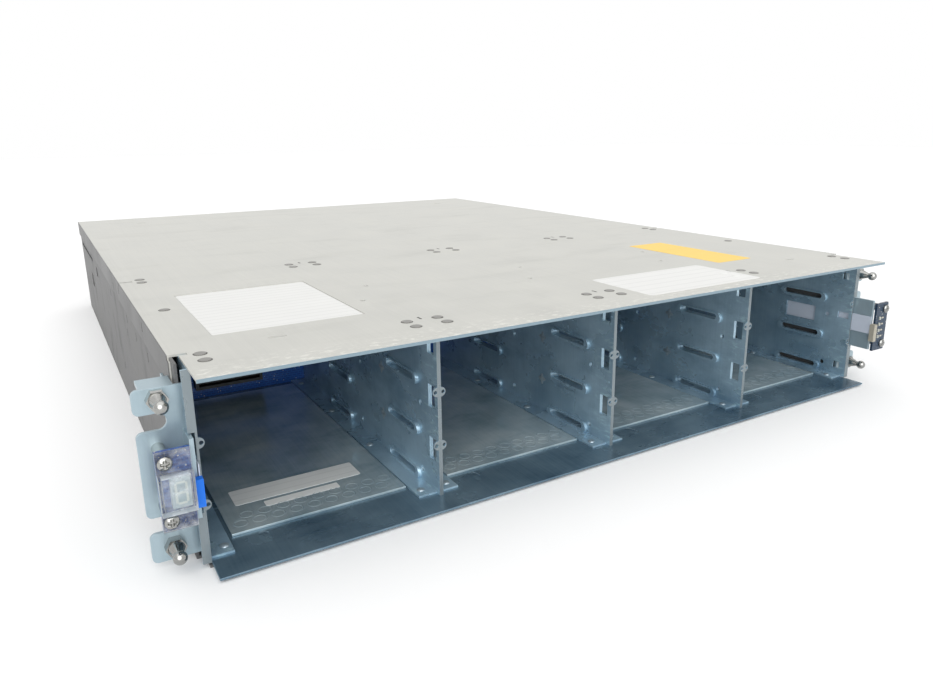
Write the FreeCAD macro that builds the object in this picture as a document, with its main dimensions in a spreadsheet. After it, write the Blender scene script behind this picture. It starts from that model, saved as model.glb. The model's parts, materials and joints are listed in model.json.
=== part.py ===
import FreeCAD, Part
import math
import os
import Sketcher

# A two-unit rack storage enclosure: a sheet-metal chassis with twelve empty drive bays in four
# columns at the front, a midplane, and two power modules and two controllers at the back.
# Millimetres. +X is to the right seen from the front, +Y to the rear, +Z up.
# The origin is on the underside, midway between the sides, in the plane of the rack posts.

DOC = FreeCAD.newDocument("storage_enclosure")
SHEET = DOC.addObject("Spreadsheet::Sheet", "Dims")

DRIVING = {
    # overall
    "rack_width": 479,
    "body_width": 447,
    "body_height": 88.4,
    "body_depth": 572,
    "cage_lead": 10,
    "apron_reach": 14,
    "hood_reach": 18,
    # sheets and boards
    "cover_sheet": 1,
    "pan_sheet": 1.2,
    "cage_sheet": 1,
    "liner_sheet": 1.2,
    "ear_sheet": 1.8,
    "module_sheet": 1,
    "board_sheet": 1.6,
    "midplane_sheet": 3,
    # clearances
    "seat_gap": 0.3,
    "module_gap": 0.4,
    "running_gap": 0.05,
    # cover
    "cover_flange": 12.5,
    "flange_setback": 17.5,
    "cover_lip": 1.5,
    "cover_hole": 3,
    "cover_hole_offset": 8.2,
    "near_hole_setback": 69.5,
    "far_hole_setback": 104.5,
    "edge_notch_depth": 8,
    "edge_notch_length": 3,
    "edge_notch_setback": 194.5,
    "cover_slot_length": 8.5,
    "cover_slot_width": 2.4,
    "front_slot_inset": 47,
    "front_slot_setback": 24,
    "rear_slot_inset": 54,
    "rear_slot_setback": 522,
    "label_inset": 22.5,
    "label_width": 73.5,
    "label_setback": 42,
    "label_length": 97,
    "label_recess": 0.35,
    "button_diameter": 5,
    "button_rise": 0.3,
    "button_offset": 8.2,
    "button_edge_inset": 8,
    "front_button_setback": 5.7,
    "rear_button_setback": 190.2,
    "side_button_setback": 106,
    "button_pitch": 9.9,
    # side-wall openings
    "rail_slot_length": 126,
    "rail_slot_height": 3,
    "rail_slot_rise": 66.5,
    "rail_slot_setback": 12,
    "rail_hole_length": 20,
    "rail_hole_height": 12,
    "rail_hole_rise": 39.5,
    "rail_hole_setback": 96,
    "rail_port_length": 12,
    "rail_port_height": 8,
    "rail_port_rise": 59.5,
    "rail_port_setback": 170,
    "slit_width": 1.6,
    "slit_height": 5,
    "slit_1_setback": 278,
    "slit_1_rise": 65,
    "slit_2_setback": 180.5,
    "slit_2_rise": 66.5,
    "slit_3_setback": 189.5,
    "slit_3_rise": 56,
    "slit_4_setback": 140,
    "slit_4_rise": 65,
    "slit_5_setback": 95,
    "slit_5_rise": 65,
    "slit_6_setback": 238.5,
    "slit_6_rise": 22,
    "flange_slit_1_setback": 233.5,
    "flange_slit_1_rise": 1.5,
    "flange_slit_2_setback": 199,
    "flange_slit_2_rise": 5,
    "flange_slit_3_setback": 95,
    "flange_slit_3_rise": 5,
    # drive cage
    "bay_pitch": 109,
    "bay_depth": 208,
    "row_pitch": 27.3,
    "foot_width": 10,
    "foot_setback": 3,
    "top_tab_setback": 1,
    "top_tab_length": 22,
    "liner_setback": 16,
    "liner_margin": 0.8,
    "latch_setback": 3.2,
    "latch_depth": 6.5,
    "latch_height": 11.6,
    "latch_rise": 16.7,
    "guide_tab_radius": 2.4,
    "guide_tab_hole": 1.8,
    "guide_tab_hole_inset": 1.1,
    "guide_tab_rise": 26.5,
    "guide_rail_proud": 1.8,
    "guide_rail_height": 6.4,
    "guide_rail_length": 37.5,
    "guide_rail_setback": 20,
    "guide_rail_column": 92,
    "guide_rail_low": 3.6,
    "guide_rail_middle": 27.4,
    "guide_slot_height": 3.6,
    "guide_slot_inset": 3.2,
    "guide_slot_lift": 0.6,
    "sheet_hole": 3,
    "sheet_hole_near": 18.5,
    "sheet_hole_far": 96.7,
    "sheet_hole_low": 7.2,
    "sheet_hole_high": 43.2,
    "return_width": 2.6,
    "wall_hole": 4.7,
    "wall_hole_inset": 7.8,
    "wall_hole_drop": 12.5,
    "wall_window_setback": 28,
    "wall_window_length": 24,
    "wall_window_height": 11,
    "wall_slot_setback": 2.2,
    "wall_slot_length": 8,
    "wall_slot_height": 4.5,
    "wall_slot_rise": 42.4,
    # ears
    "ear_bottom": 4.2,
    "ear_height": 75.4,
    "ear_overlap": 2.2,
    "ear_corner": 2.5,
    "ear_leg": 30,
    "ear_tab_width": 12.7,
    "ear_tab_inset": 3.2,
    "ear_tab_reach": 12,
    "notch_width": 7.2,
    "notch_rise": 20.95,
    "notch_spacing": 44.45,
    "notch_depth": 12,
    "plate_bottom": 26.2,
    "plate_height": 34.5,
    "stud_inset": 9.1,
    "stud_rise": 10.8,
    "stud_spacing": 64.5,
    "stud_hex": 8.6,
    "stud_hex_height": 4.2,
    "stud_neck": 3,
    "stud_shoulder": 6.8,
    "stud_neck_length": 5.6,
    "stud_ball": 5.8,
    "stud_ball_reach": 2.3,
    "stud_shank": 4.6,
    # display and indicator boards on the ears
    "display_gap": 13.2,
    "indicator_gap": 21.6,
    "board_width": 13,
    "board_height": 33.5,
    "board_bottom": 25.2,
    "standoff_diameter": 5.2,
    "standoff_inset": 3.3,
    "standoff_end": 4.4,
    "standoff_bore": 6.6,
    "screw_diameter": 2.4,
    "screw_head": 5.6,
    "screw_head_height": 2.2,
    "screw_reach": 4.4,
    "lens_wall": 1.2,
    "lens_depth": 5.6,
    "lens_ledge": 8.6,
    "digit_width": 7.4,
    "digit_height": 12.8,
    "digit_depth": 3.8,
    # ribbons
    "ribbon_thickness": 0.5,
    "ribbon_width": 12,
    "ribbon_bottom": 37.6,
    "ribbon_bend": 5,
    "ribbon_tail": 5,
    "ribbon_tab_width": 3.2,
    "ribbon_tab_depth": 3.4,
    "ribbon_tab_drop": 5,
    "socket_width": 8,
    "socket_height": 14,
    # midplane
    "vent_length": 50,
    "vent_height": 8,
    "vent_rise": 17,
    "drive_plug_length": 44,
    "drive_plug_depth": 8,
    "drive_plug_height": 6,
    "drive_plug_rise": 8,
    "drive_plug_slot": 2,
    "header_depth": 8,
    "power_header_width": 30,
    "power_header_height": 14,
    "data_header_width": 70,
    "data_header_height": 8,
    # module bays
    "partition_flange": 12,
    "shelf_flange": 6,
    "shelf_setback": 24,
    "module_setback": 16,
    # power modules
    "power_width": 104,
    "panel_sheet": 1.2,
    "fan_size": 40,
    "fan_depth": 20,
    "fan_bore": 38,
    "fan_inset": 6,
    "fan_seat": 0.1,
    "fan_tip_gap": 0.7,
    "fan_hub": 19,
    "fan_shaft": 5,
    "fan_strut": 3,
    "fan_strut_depth": 3,
    "blade_chord": 14.8,
    "blade_root_sheet": 1.2,
    "blade_tip_sheet": 0.9,
    "blade_sink": 2,
    "grille_slot": 2.4,
    "grille_pitch": 4.2,
    "case_slot_pitch": 8.4,
    "case_slot_margin": 10,
    "inlet_width": 30,
    "inlet_height": 24,
    "inlet_wall": 2,
    "inlet_depth": 18,
    "inlet_proud": 2,
    "inlet_inset": 4,
    "inlet_rise": 10,
    "pin_width": 2,
    "pin_height": 4,
    "pin_spread": 7,
    "pin_lift": 2,
    "rocker_width": 11,
    "rocker_height": 19,
    "rocker_depth": 7,
    "rocker_waist": 9.5,
    "rocker_frame_depth": 14,
    "rocker_pivot": 2,
    "power_lever_length": 62,
    "power_lever_inset": 44,
    "power_lever_rise": 9,
    # levers
    "lever_width": 11,
    "lever_sheet": 3,
    "lever_barrel": 8,
    "lever_pin": 4,
    "lever_hook": 7,
    "lever_standoff": 6,
    "lever_cheek": 2,
    # controllers
    "data_lever_length": 29,
    "data_lever_rise": 6,
    "data_lever_inset": 9,
    "board_rise": 9,
    "board_margin": 3,
    "board_setback": 4,
    "plug_overlap": 7,
    "post_diameter": 6,
    "post_inset": 14,
    "port_depth": 14,
    "port_wall": 0.8,
    "port_proud": 1.2,
    "port_gap": 7,
    "wide_port_width": 20,
    "wide_port_height": 10,
    "tall_port_width": 16,
    "tall_port_height": 13,
}

DEGREES_FULL = 360


class Size:
    """A length that knows its value now and the sheet formula that gives it."""

    def __init__(self, value, text):
        self.value = value
        self.text = text

    def __add__(self, other):
        other = size(other)
        return Size(self.value + other.value, f"({self.text} + {other.text})")

    def __sub__(self, other):
        other = size(other)
        return Size(self.value - other.value, f"({self.text} - {other.text})")

    def __mul__(self, other):
        other = size(other)
        return Size(self.value * other.value, f"({self.text} * {other.text})")

    def __truediv__(self, other):
        other = size(other)
        return Size(self.value / other.value, f"({self.text} / {other.text})")

    def __neg__(self):
        return Size(-self.value, f"(0 - {self.text})")

    def __radd__(self, other):
        return size(other) + self

    def __rsub__(self, other):
        return size(other) - self

    def __rmul__(self, other):
        return size(other) * self


def size(number):
    """Turns a plain number into a Size; a Size passes through."""
    if isinstance(number, Size):
        return number
    return Size(float(number), repr(float(number)))


def fill_sheet():
    """Writes each driving dimension into the sheet and returns them as Sizes by name."""
    sizes = {}
    for row, (name, value) in enumerate(DRIVING.items(), start=1):
        SHEET.set(f"A{row}", name)
        SHEET.set(f"B{row}", str(value))
        SHEET.setAlias(f"B{row}", name)
        sizes[name] = Size(float(value), f"Dims.{name}")
    DOC.recompute()
    return sizes


class Dims:
    """The driving dimensions as attributes."""


D = Dims()
D.__dict__.update(fill_sheet())
NODES = []


def node(thing, label):
    """Names a finished sub-part."""
    thing.Label = label
    NODES.append(thing)
    return thing


# Solids from primitives


def bind(thing, prop, length):
    thing.setExpression(prop, size(length).text)


def put(thing, x, y, z):
    bind(thing, "Placement.Base.x", x)
    bind(thing, "Placement.Base.y", y)
    bind(thing, "Placement.Base.z", z)


def ordered(a, b):
    a, b = size(a), size(b)
    return (a, b) if a.value <= b.value else (b, a)


def block(x_range, y_range, z_range):
    """A box between two x, two y and two z levels, given in either order."""
    thing = DOC.addObject("Part::Box", "block")
    lows = []
    for prop, pair in zip(("Length", "Width", "Height"), (x_range, y_range, z_range)):
        low, high = ordered(*pair)
        bind(thing, prop, high - low)
        lows.append(low)
    put(thing, *lows)
    return thing


TURNS = {
    "x": FreeCAD.Rotation(FreeCAD.Vector(0, 1, 0), 90),
    "y": FreeCAD.Rotation(FreeCAD.Vector(1, 0, 0), -90),
    "z": FreeCAD.Rotation(),
}


def rod(axis, start, radius, length):
    """A cylinder that starts at a point and runs along +x, +y or +z."""
    thing = DOC.addObject("Part::Cylinder", "rod")
    thing.Placement = FreeCAD.Placement(FreeCAD.Vector(), TURNS[axis])
    bind(thing, "Radius", radius)
    bind(thing, "Height", length)
    put(thing, *start)
    return thing


def join(*things):
    """One solid out of several that touch."""
    thing = DOC.addObject("Part::MultiFuse", "join")
    thing.Shapes = list(things)
    thing.Refine = True
    return thing


def minus(base, *tools):
    """A solid with other solids cut away."""
    thing = DOC.addObject("Part::Cut", "cut")
    thing.Base = base
    thing.Tool = tools[0] if len(tools) == 1 else join(*tools)
    thing.Refine = True
    return thing


def group(*things):
    """Several separate solids in one sub-part."""
    thing = DOC.addObject("Part::Compound", "group")
    thing.Links = list(things)
    return thing


def copy_at(original, label, x, y, z):
    """The same piece once more, at another place."""
    thing = DOC.addObject("App::Link", "copy")
    thing.LinkedObject = original
    put(thing, x, y, z)
    return node(thing, label)


# Sketched bodies


def new_body(name):
    return DOC.addObject("PartDesign::Body", name)


def sketch(body, role, level):
    """An empty sketch on one of the body's own planes, moved to a level along the row axis."""
    page = body.newObject("Sketcher::SketchObject", "profile")
    plane = next(f for f in body.Origin.OriginFeatures if f.Role == role)
    page.AttachmentSupport = [(plane, "")]
    page.MapMode = "FlatFace"
    level = size(level)
    bind(page, "AttachmentOffset.Base.z", -level if role == "XZ_Plane" else level)
    return page


def add_rules(page, rules):
    """Adds constraints in one go; a rule with a length is bound to that length's formula."""
    indices = page.addConstraint([Sketcher.Constraint(*rule) for rule, length in rules])
    for index, (rule, length) in zip(indices, rules):
        if length is not None:
            bind(page, f"Constraints[{index}]", length)


def point_rules(geometry, point, x, y):
    """The two rules that fix a point by its signed distances from the sketch's origin."""
    return [((kind, -1, 1, geometry, point, size(length).value), length)
            for kind, length in (("DistanceX", x), ("DistanceY", y))]


def radius_rule(geometry, radius):
    return (("Radius", geometry, size(radius).value), radius)


def vector(x, y):
    return FreeCAD.Vector(size(x).value, size(y).value, 0)


def polygon(page, points):
    """A closed outline of straight edges through the points."""
    first = page.GeometryCount
    count = len(points)
    page.addGeometry([Part.LineSegment(vector(*points[k]), vector(*points[(k + 1) % count]))
                      for k in range(count)])
    rules = [(("Coincident", first + k, 2, first + (k + 1) % count, 1), None) for k in range(count)]
    for k in range(count):
        rules += point_rules(first + k, 1, *points[k])
    add_rules(page, rules)


def towards(start, end, distance):
    """The point at a distance from a corner, along the level or upright edge to another corner."""
    (x0, y0), (x1, y1) = start, end
    gap_x, gap_y = size(x1).value - size(x0).value, size(y1).value - size(y0).value
    if abs(gap_x) > abs(gap_y):
        return x0 + distance * math.copysign(1, gap_x), y0
    return x0, y0 + distance * math.copysign(1, gap_y)


def corner_arc(page, corner, entry, leave, radius):
    """The arc that rounds a square corner; returns it with its ends in the outline's order."""
    corner, entry, leave = vector(*corner), vector(*entry), vector(*leave)
    centre = entry + leave - corner
    left_turn = (corner - entry).cross(leave - corner).z > 0
    start, end = (entry, leave) if left_turn else (leave, entry)
    first, last = [math.atan2(p.y - centre.y, p.x - centre.x) for p in (start, end)]
    ring = Part.Circle(centre, FreeCAD.Vector(0, 0, 1), radius.value)
    geometry = page.addGeometry(Part.ArcOfCircle(ring, first, last))
    return geometry, (1, 2) if left_turn else (2, 1)


def rounded_outline(page, corners):
    """A closed outline of level and upright edges; each corner is a point and its radius or None."""
    count = len(corners)
    entries, leaves = [], []
    for k, (point, radius) in enumerate(corners):
        before, after = corners[k - 1][0], corners[(k + 1) % count][0]
        entries.append(towards(point, before, radius) if radius else point)
        leaves.append(towards(point, after, radius) if radius else point)
    first = page.GeometryCount
    page.addGeometry([Part.LineSegment(vector(*leaves[k]), vector(*entries[(k + 1) % count]))
                      for k in range(count)])
    rules = []
    for k, (point, radius) in enumerate(corners):
        edge_in, edge_out = first + (k - 1) % count, first + k
        rules += point_rules(edge_out, 1, *leaves[k])
        if radius is None:
            rules.append((("Coincident", edge_in, 2, edge_out, 1), None))
            continue
        rules += point_rules(edge_in, 2, *entries[k])
        bend, (near, far) = corner_arc(page, point, entries[k], leaves[k], radius)
        rules += [(("Coincident", edge_in, 2, bend, near), None),
                  (("Coincident", bend, far, edge_out, 1), None),
                  radius_rule(bend, radius)]
    add_rules(page, rules)


def rectangle(page, x_range, y_range):
    (x0, x1), (y0, y1) = ordered(*x_range), ordered(*y_range)
    polygon(page, [(x0, y0), (x1, y0), (x1, y1), (x0, y1)])


def circle(page, x, y, diameter):
    ring = Part.Circle(vector(x, y), FreeCAD.Vector(0, 0, 1), size(diameter).value / 2)
    geometry = page.addGeometry(ring)
    add_rules(page, point_rules(geometry, 3, x, y) + [radius_rule(geometry, size(diameter) / 2)])


def arc(page, x, y, radius, start, end):
    """An arc about a fixed centre whose two ends stand straight above and below it."""
    ring = Part.Circle(vector(x, y), FreeCAD.Vector(0, 0, 1), size(radius).value)
    geometry = page.addGeometry(Part.ArcOfCircle(ring, math.radians(start), math.radians(end)))
    ends = [(("Vertical", geometry, 3, geometry, end_point), None) for end_point in (1, 2)]
    add_rules(page, point_rules(geometry, 3, x, y) + [radius_rule(geometry, radius)] + ends)
    return geometry


def edge_between(page, start, end):
    """A straight edge that joins two existing ends."""
    geometry = page.addGeometry(Part.LineSegment(page.getPoint(*start), page.getPoint(*end)))
    add_rules(page, [(("Coincident", geometry, 1, *start), None), (("Coincident", geometry, 2, *end), None)])


def stadium(page, x_range, y, height):
    """A slot outline with round ends, from end to end along the sketch's x."""
    x0, x1 = ordered(*x_range)
    radius = size(height) / 2
    left = arc(page, x0 + radius, y, radius, 90, 270)
    right = arc(page, x1 - radius, y, radius, -90, 90)
    edge_between(page, (left, 2), (right, 1))
    edge_between(page, (right, 2), (left, 1))


def half_disc(page, x, y, radius, side):
    """A half disc that bulges to one side of a vertical line."""
    bulge = arc(page, x, y, radius, -90, 90) if side > 0 else arc(page, x, y, radius, 90, 270)
    edge_between(page, (bulge, 2), (bulge, 1))


def pad(body, page, length, backwards=False):
    """Adds the sketch's area; backwards is against the sketch plane's normal."""
    feature = body.newObject("PartDesign::Pad", "pad")
    feature.Profile = page
    bind(feature, "Length", length)
    feature.Reversed = backwards
    body.Tip = feature
    return feature


def pocket(body, page, length):
    """Cuts the sketch's area, half of the length to each side of its plane."""
    feature = body.newObject("PartDesign::Pocket", "pocket")
    feature.Profile = page
    feature.SideType = "Symmetric"
    bind(feature, "Length", length)
    body.Tip = feature
    return feature


# Levels that several pieces share

FRONT = -D.cage_lead
HOOD_FRONT = FRONT - D.hood_reach
REAR = FRONT + D.body_depth
HALF = D.body_width / 2
WALL_OUT = HALF - D.cover_sheet
WALL_IN = WALL_OUT - D.pan_sheet
CAGE_IN = D.bay_pitch * 2
CAGE_OUT = CAGE_IN + D.cage_sheet
UNDER = D.body_height - D.cover_sheet
FLANGE_LOW = D.body_height - D.cover_flange
FLOOR = D.pan_sheet * 2
MID_FRONT = FRONT + D.bay_depth
MID_REAR = MID_FRONT + D.midplane_sheet
RIBBON_OUT = CAGE_OUT + D.module_gap + D.ribbon_thickness
RIBBON_TURN = MID_FRONT - D.ribbon_bend - D.ribbon_tail
POWER_OUT = WALL_IN - D.module_gap
POWER_IN = POWER_OUT - D.power_width
PARTITION_OUT = POWER_IN - D.module_gap
PARTITION_IN = PARTITION_OUT - D.module_sheet
MODULE_FRONT = MID_REAR + D.module_setback
MODULE_LOW = D.pan_sheet + D.seat_gap
MODULE_HIGH = UNDER - D.seat_gap
SHELF = (D.pan_sheet + UNDER - D.module_sheet) / 2
EAR_OUT = D.rack_width / 2
EAR_IN = WALL_OUT - D.ear_overlap
DIVIDERS = [D.bay_pitch * k for k in (-1, 0, 1)]
BAY_LEFT_EDGES = [D.bay_pitch * k for k in (-2, -1, 0, 1)]
ROWS = range(int(((UNDER - FLOOR) / D.row_pitch).value))


# Chassis

WALL_SLITS = ("slit_1", "slit_2", "slit_3", "slit_4", "slit_5", "slit_6")
FLANGE_SLITS = ("flange_slit_1", "flange_slit_2", "flange_slit_3")


def cut_slits(page, names, base=0):
    """Upright slits in the side of the chassis, each at its own setback and height above base."""
    for name in names:
        y = FRONT + getattr(D, f"{name}_setback")
        z = base + getattr(D, f"{name}_rise")
        rectangle(page, (y, y + D.slit_width), (z, z + D.slit_height))


def build_base_pan():
    """The bottom sheet and both outer walls, bent from one piece."""
    body = new_body("base_pan")
    page = sketch(body, "XZ_Plane", 0)
    polygon(page, [(-WALL_OUT, 0), (WALL_OUT, 0), (WALL_OUT, UNDER), (WALL_IN, UNDER),
                   (WALL_IN, D.pan_sheet), (-WALL_IN, D.pan_sheet), (-WALL_IN, UNDER), (-WALL_OUT, UNDER)])
    pad(body, page, REAR, backwards=True)
    page = sketch(body, "XY_Plane", 0)
    rectangle(page, (-CAGE_OUT, CAGE_OUT), (FRONT, D.cage_lead))
    pad(body, page, D.pan_sheet)
    page = sketch(body, "YZ_Plane", 0)
    slot_end = REAR - D.rail_slot_setback
    slot_middle = D.rail_slot_rise + D.rail_slot_height / 2
    stadium(page, (slot_end - D.rail_slot_length, slot_end), slot_middle, D.rail_slot_height)
    hole_end = REAR - D.rail_hole_setback
    rectangle(page, (hole_end - D.rail_hole_length, hole_end),
              (D.rail_hole_rise, D.rail_hole_rise + D.rail_hole_height))
    port_end = REAR - D.rail_port_setback
    rectangle(page, (port_end - D.rail_port_length, port_end),
              (D.rail_port_rise, D.rail_port_rise + D.rail_port_height))
    cut_slits(page, WALL_SLITS)
    cut_slits(page, FLANGE_SLITS, FLANGE_LOW)
    pocket(body, page, D.body_width)
    return node(body, "base_pan")


def button_places():
    """Where the cover is joined to the cage: pairs beside each divider and along each side."""
    setbacks = [D.front_button_setback, D.front_button_setback + D.button_pitch,
                D.rear_button_setback, D.rear_button_setback + D.button_pitch]
    columns = [x + D.button_offset * side for x in DIVIDERS for side in (-1, 1)]
    edges = [(CAGE_OUT - D.button_edge_inset) * side for side in (-1, 1)]
    places = [(x, FRONT + setback) for x in columns + edges for setback in setbacks]
    return places + [(x, FRONT + D.side_button_setback) for x in edges]


def build_top_cover():
    """The cover: a top sheet with turned-down sides that stands out over the bays as a hood.

    It has a front lip, a label recess, punched holes and half-sheared buttons.
    """
    body = new_body("top_cover")
    flange_front = FRONT + D.flange_setback
    page = sketch(body, "XZ_Plane", flange_front)
    polygon(page, [(-HALF, FLANGE_LOW), (-WALL_OUT, FLANGE_LOW), (-WALL_OUT, UNDER), (WALL_OUT, UNDER),
                   (WALL_OUT, FLANGE_LOW), (HALF, FLANGE_LOW), (HALF, D.body_height), (-HALF, D.body_height)])
    pad(body, page, REAR - flange_front, backwards=True)
    page = sketch(body, "XY_Plane", UNDER)
    rectangle(page, (-CAGE_OUT, CAGE_OUT), (HOOD_FRONT, flange_front + D.cover_sheet))
    pad(body, page, D.cover_sheet)
    page = sketch(body, "XZ_Plane", HOOD_FRONT)
    rectangle(page, (-CAGE_OUT, CAGE_OUT), (D.body_height - D.cover_lip, D.body_height))
    pad(body, page, D.cover_sheet, backwards=True)
    page = sketch(body, "XY_Plane", UNDER)
    for x in DIVIDERS:
        circle(page, x - D.cover_hole_offset, FRONT + D.near_hole_setback, D.cover_hole)
        circle(page, x + D.cover_hole_offset, FRONT + D.far_hole_setback, D.cover_hole)
    for setback in (D.flange_setback, D.edge_notch_setback):
        notch = FRONT + setback
        for side in (-1, 1):
            rectangle(page, (HALF * side, (HALF - D.edge_notch_depth) * side),
                      (notch, notch + D.edge_notch_length))
    half_slot = D.cover_slot_length / 2
    for inset, setback in ((D.front_slot_inset, D.front_slot_setback),
                           (D.rear_slot_inset, D.rear_slot_setback)):
        for x in (inset - HALF, HALF - inset):
            stadium(page, (x - half_slot, x + half_slot), FRONT + setback, D.cover_slot_width)
    pocket(body, page, D.cover_sheet * 2)
    page = sketch(body, "XY_Plane", UNDER)
    for x, y in button_places():
        circle(page, x, y, D.button_diameter)
    pocket(body, page, D.button_rise * 2)
    page = sketch(body, "XY_Plane", D.body_height)
    for x, y in button_places():
        circle(page, x, y, D.button_diameter)
    pad(body, page, D.button_rise)
    page = sketch(body, "XY_Plane", D.body_height)
    label_x, label_y = D.label_inset - HALF, FRONT + D.label_setback
    rectangle(page, (label_x, label_x + D.label_width), (label_y, label_y + D.label_length))
    pocket(body, page, D.label_recess * 2)
    page = sketch(body, "YZ_Plane", 0)
    cut_slits(page, FLANGE_SLITS, FLANGE_LOW)
    pocket(body, page, D.body_width)
    return node(body, "top_cover")


def build_bay_floor():
    """The floor of the drive cage, which runs out in front as an apron."""
    body = new_body("bay_floor")
    page = sketch(body, "XY_Plane", FLOOR - D.pan_sheet)
    rectangle(page, (-CAGE_IN, CAGE_IN), (FRONT - D.apron_reach, MID_FRONT - D.seat_gap))
    pad(body, page, D.pan_sheet)
    return node(body, "bay_floor")


def build_liner_plates():
    """A thin plate on the floor of each bay, between the feet of its two sheets."""
    inset = D.cage_sheet + D.foot_width + D.liner_margin
    plates = []
    for x in BAY_LEFT_EDGES:
        plates.append(block((x + inset, x + D.bay_pitch - inset),
                            (FRONT + D.liner_setback, MID_FRONT - D.drive_plug_depth),
                            (FLOOR, FLOOR + D.liner_sheet)))
    return node(group(*plates), "bay_liner_plates")


def rail_places():
    """The near end and the height of each guide rail: two columns of three."""
    middle = FLOOR + D.guide_rail_middle
    heights = [FLOOR + D.guide_rail_low, middle, middle + D.row_pitch]
    ends = [FRONT + D.guide_rail_setback, FRONT + D.guide_rail_setback + D.guide_rail_column]
    return [(y, z) for y in ends for z in heights]


def build_cage_sheet(label, plane, side, wall):
    """One upright sheet of the cage: it stands on the plane and faces its bay on the given side.

    It has a foot and a top tab bent into the bay, louvred guide rails, half-round guide tabs at
    the front edge, and either latch windows or, in a cage wall, windows for the ribbon.
    """
    body = new_body(label)
    back = (RIBBON_TURN if wall else MID_FRONT) - D.seat_gap
    face = plane + D.cage_sheet * side
    inwards = side < 0
    page = sketch(body, "YZ_Plane", plane)
    near = FRONT + D.latch_setback
    far = near + D.latch_depth
    window_lows = [FLOOR + D.latch_rise + D.row_pitch * k for k in ROWS]
    if wall:
        rectangle(page, (FRONT, back), (FLOOR, UNDER))
        slot_low = FLOOR + D.wall_slot_rise
        y0 = FRONT + D.wall_slot_setback
        rectangle(page, (y0, y0 + D.wall_slot_length), (slot_low, slot_low + D.wall_slot_height))
        y0 = FRONT + D.wall_window_setback
        z1 = slot_low + D.wall_slot_height
        rectangle(page, (y0, y0 + D.wall_window_length), (z1 - D.wall_window_height, z1))
        for z in (FLOOR + D.wall_hole_inset, UNDER - D.wall_hole_drop):
            rectangle(page, (far - D.wall_hole, far), (z - D.wall_hole / 2, z + D.wall_hole / 2))
    else:
        polygon(page, [(FRONT, FLOOR), (back, FLOOR), (back, UNDER), (far, UNDER), (far, window_lows[-1]),
                       (near, window_lows[-1]), (near, UNDER), (FRONT, UNDER)])
        for low in window_lows[:-1]:
            rectangle(page, (near, far), (low, low + D.latch_height))
    for y in (FRONT + D.sheet_hole_near, FRONT + D.sheet_hole_far):
        for z in (FLOOR + D.sheet_hole_low, FLOOR + D.sheet_hole_high):
            circle(page, y, z, D.sheet_hole)
    pad(body, page, D.cage_sheet, inwards)
    page = sketch(body, "XY_Plane", FLOOR)
    rectangle(page, (plane, face + D.foot_width * side), (FRONT + D.foot_setback, back))
    pad(body, page, D.cage_sheet)
    page = sketch(body, "XY_Plane", UNDER - D.cage_sheet)
    tab_front = FRONT + D.top_tab_setback
    rectangle(page, (plane, face + D.foot_width * side), (tab_front, tab_front + D.top_tab_length))
    pad(body, page, D.cage_sheet)
    page = sketch(body, "YZ_Plane", face)
    for y, z in rail_places():
        stadium(page, (y, y + D.guide_rail_length), z, D.guide_rail_height)
    pad(body, page, D.guide_rail_proud, inwards)
    page = sketch(body, "YZ_Plane", face)
    for y, z in rail_places():
        stadium(page, (y + D.guide_slot_inset, y + D.guide_rail_length - D.guide_slot_inset),
                z + D.guide_slot_lift, D.guide_slot_height)
    pocket(body, page, (D.cage_sheet + D.guide_rail_proud) * 2)
    page = sketch(body, "XZ_Plane", FRONT)
    for k in range(2):
        z = FLOOR + D.guide_tab_rise + D.row_pitch * k
        half_disc(page, face, z, D.guide_tab_radius, side)
    pad(body, page, D.cage_sheet, backwards=True)
    page = sketch(body, "XZ_Plane", FRONT)
    for k in range(2):
        z = FLOOR + D.guide_tab_rise + D.row_pitch * k
        circle(page, face + D.guide_tab_hole_inset * side, z, D.guide_tab_hole)
    pocket(body, page, D.cage_sheet * 2)
    if wall:
        page = sketch(body, "XZ_Plane", FRONT)
        edge = plane - D.return_width * side
        rectangle(page, (plane, edge), (FLOOR, D.plate_bottom - D.module_gap))
        rectangle(page, (plane, edge), (D.plate_bottom + D.plate_height + D.module_gap, UNDER))
        pad(body, page, D.cage_sheet, backwards=True)
    return node(body, label)


def build_cage():
    build_cage_sheet("cage_wall_left", -CAGE_OUT, 1, True)
    build_cage_sheet("cage_wall_right", CAGE_OUT, -1, True)
    for hand, side in (("left", -1), ("right", 1)):
        middle = build_cage_sheet(f"divider_2_{hand}_sheet", size(0), side, False)
        copy_at(middle, f"divider_1_{hand}_sheet", DIVIDERS[0], 0, 0)
        copy_at(middle, f"divider_3_{hand}_sheet", DIVIDERS[2], 0, 0)


# Rack ears

STUD_X = EAR_OUT - D.stud_inset
BOARD_GAPS = {-1: D.display_gap, 1: D.indicator_gap}
BOARD_BACKS = {side: -D.ear_sheet - gap for side, gap in BOARD_GAPS.items()}
BOARD_FACES = {side: back - D.board_sheet for side, back in BOARD_BACKS.items()}
BOARD_IN = EAR_IN + D.ear_sheet + D.seat_gap
BOARD_TOP = D.board_bottom + D.board_height
STANDOFF_X = BOARD_IN + D.board_width - D.standoff_inset
STANDOFF_HEIGHTS = (D.board_bottom + D.standoff_end, BOARD_TOP - D.standoff_end)


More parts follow.
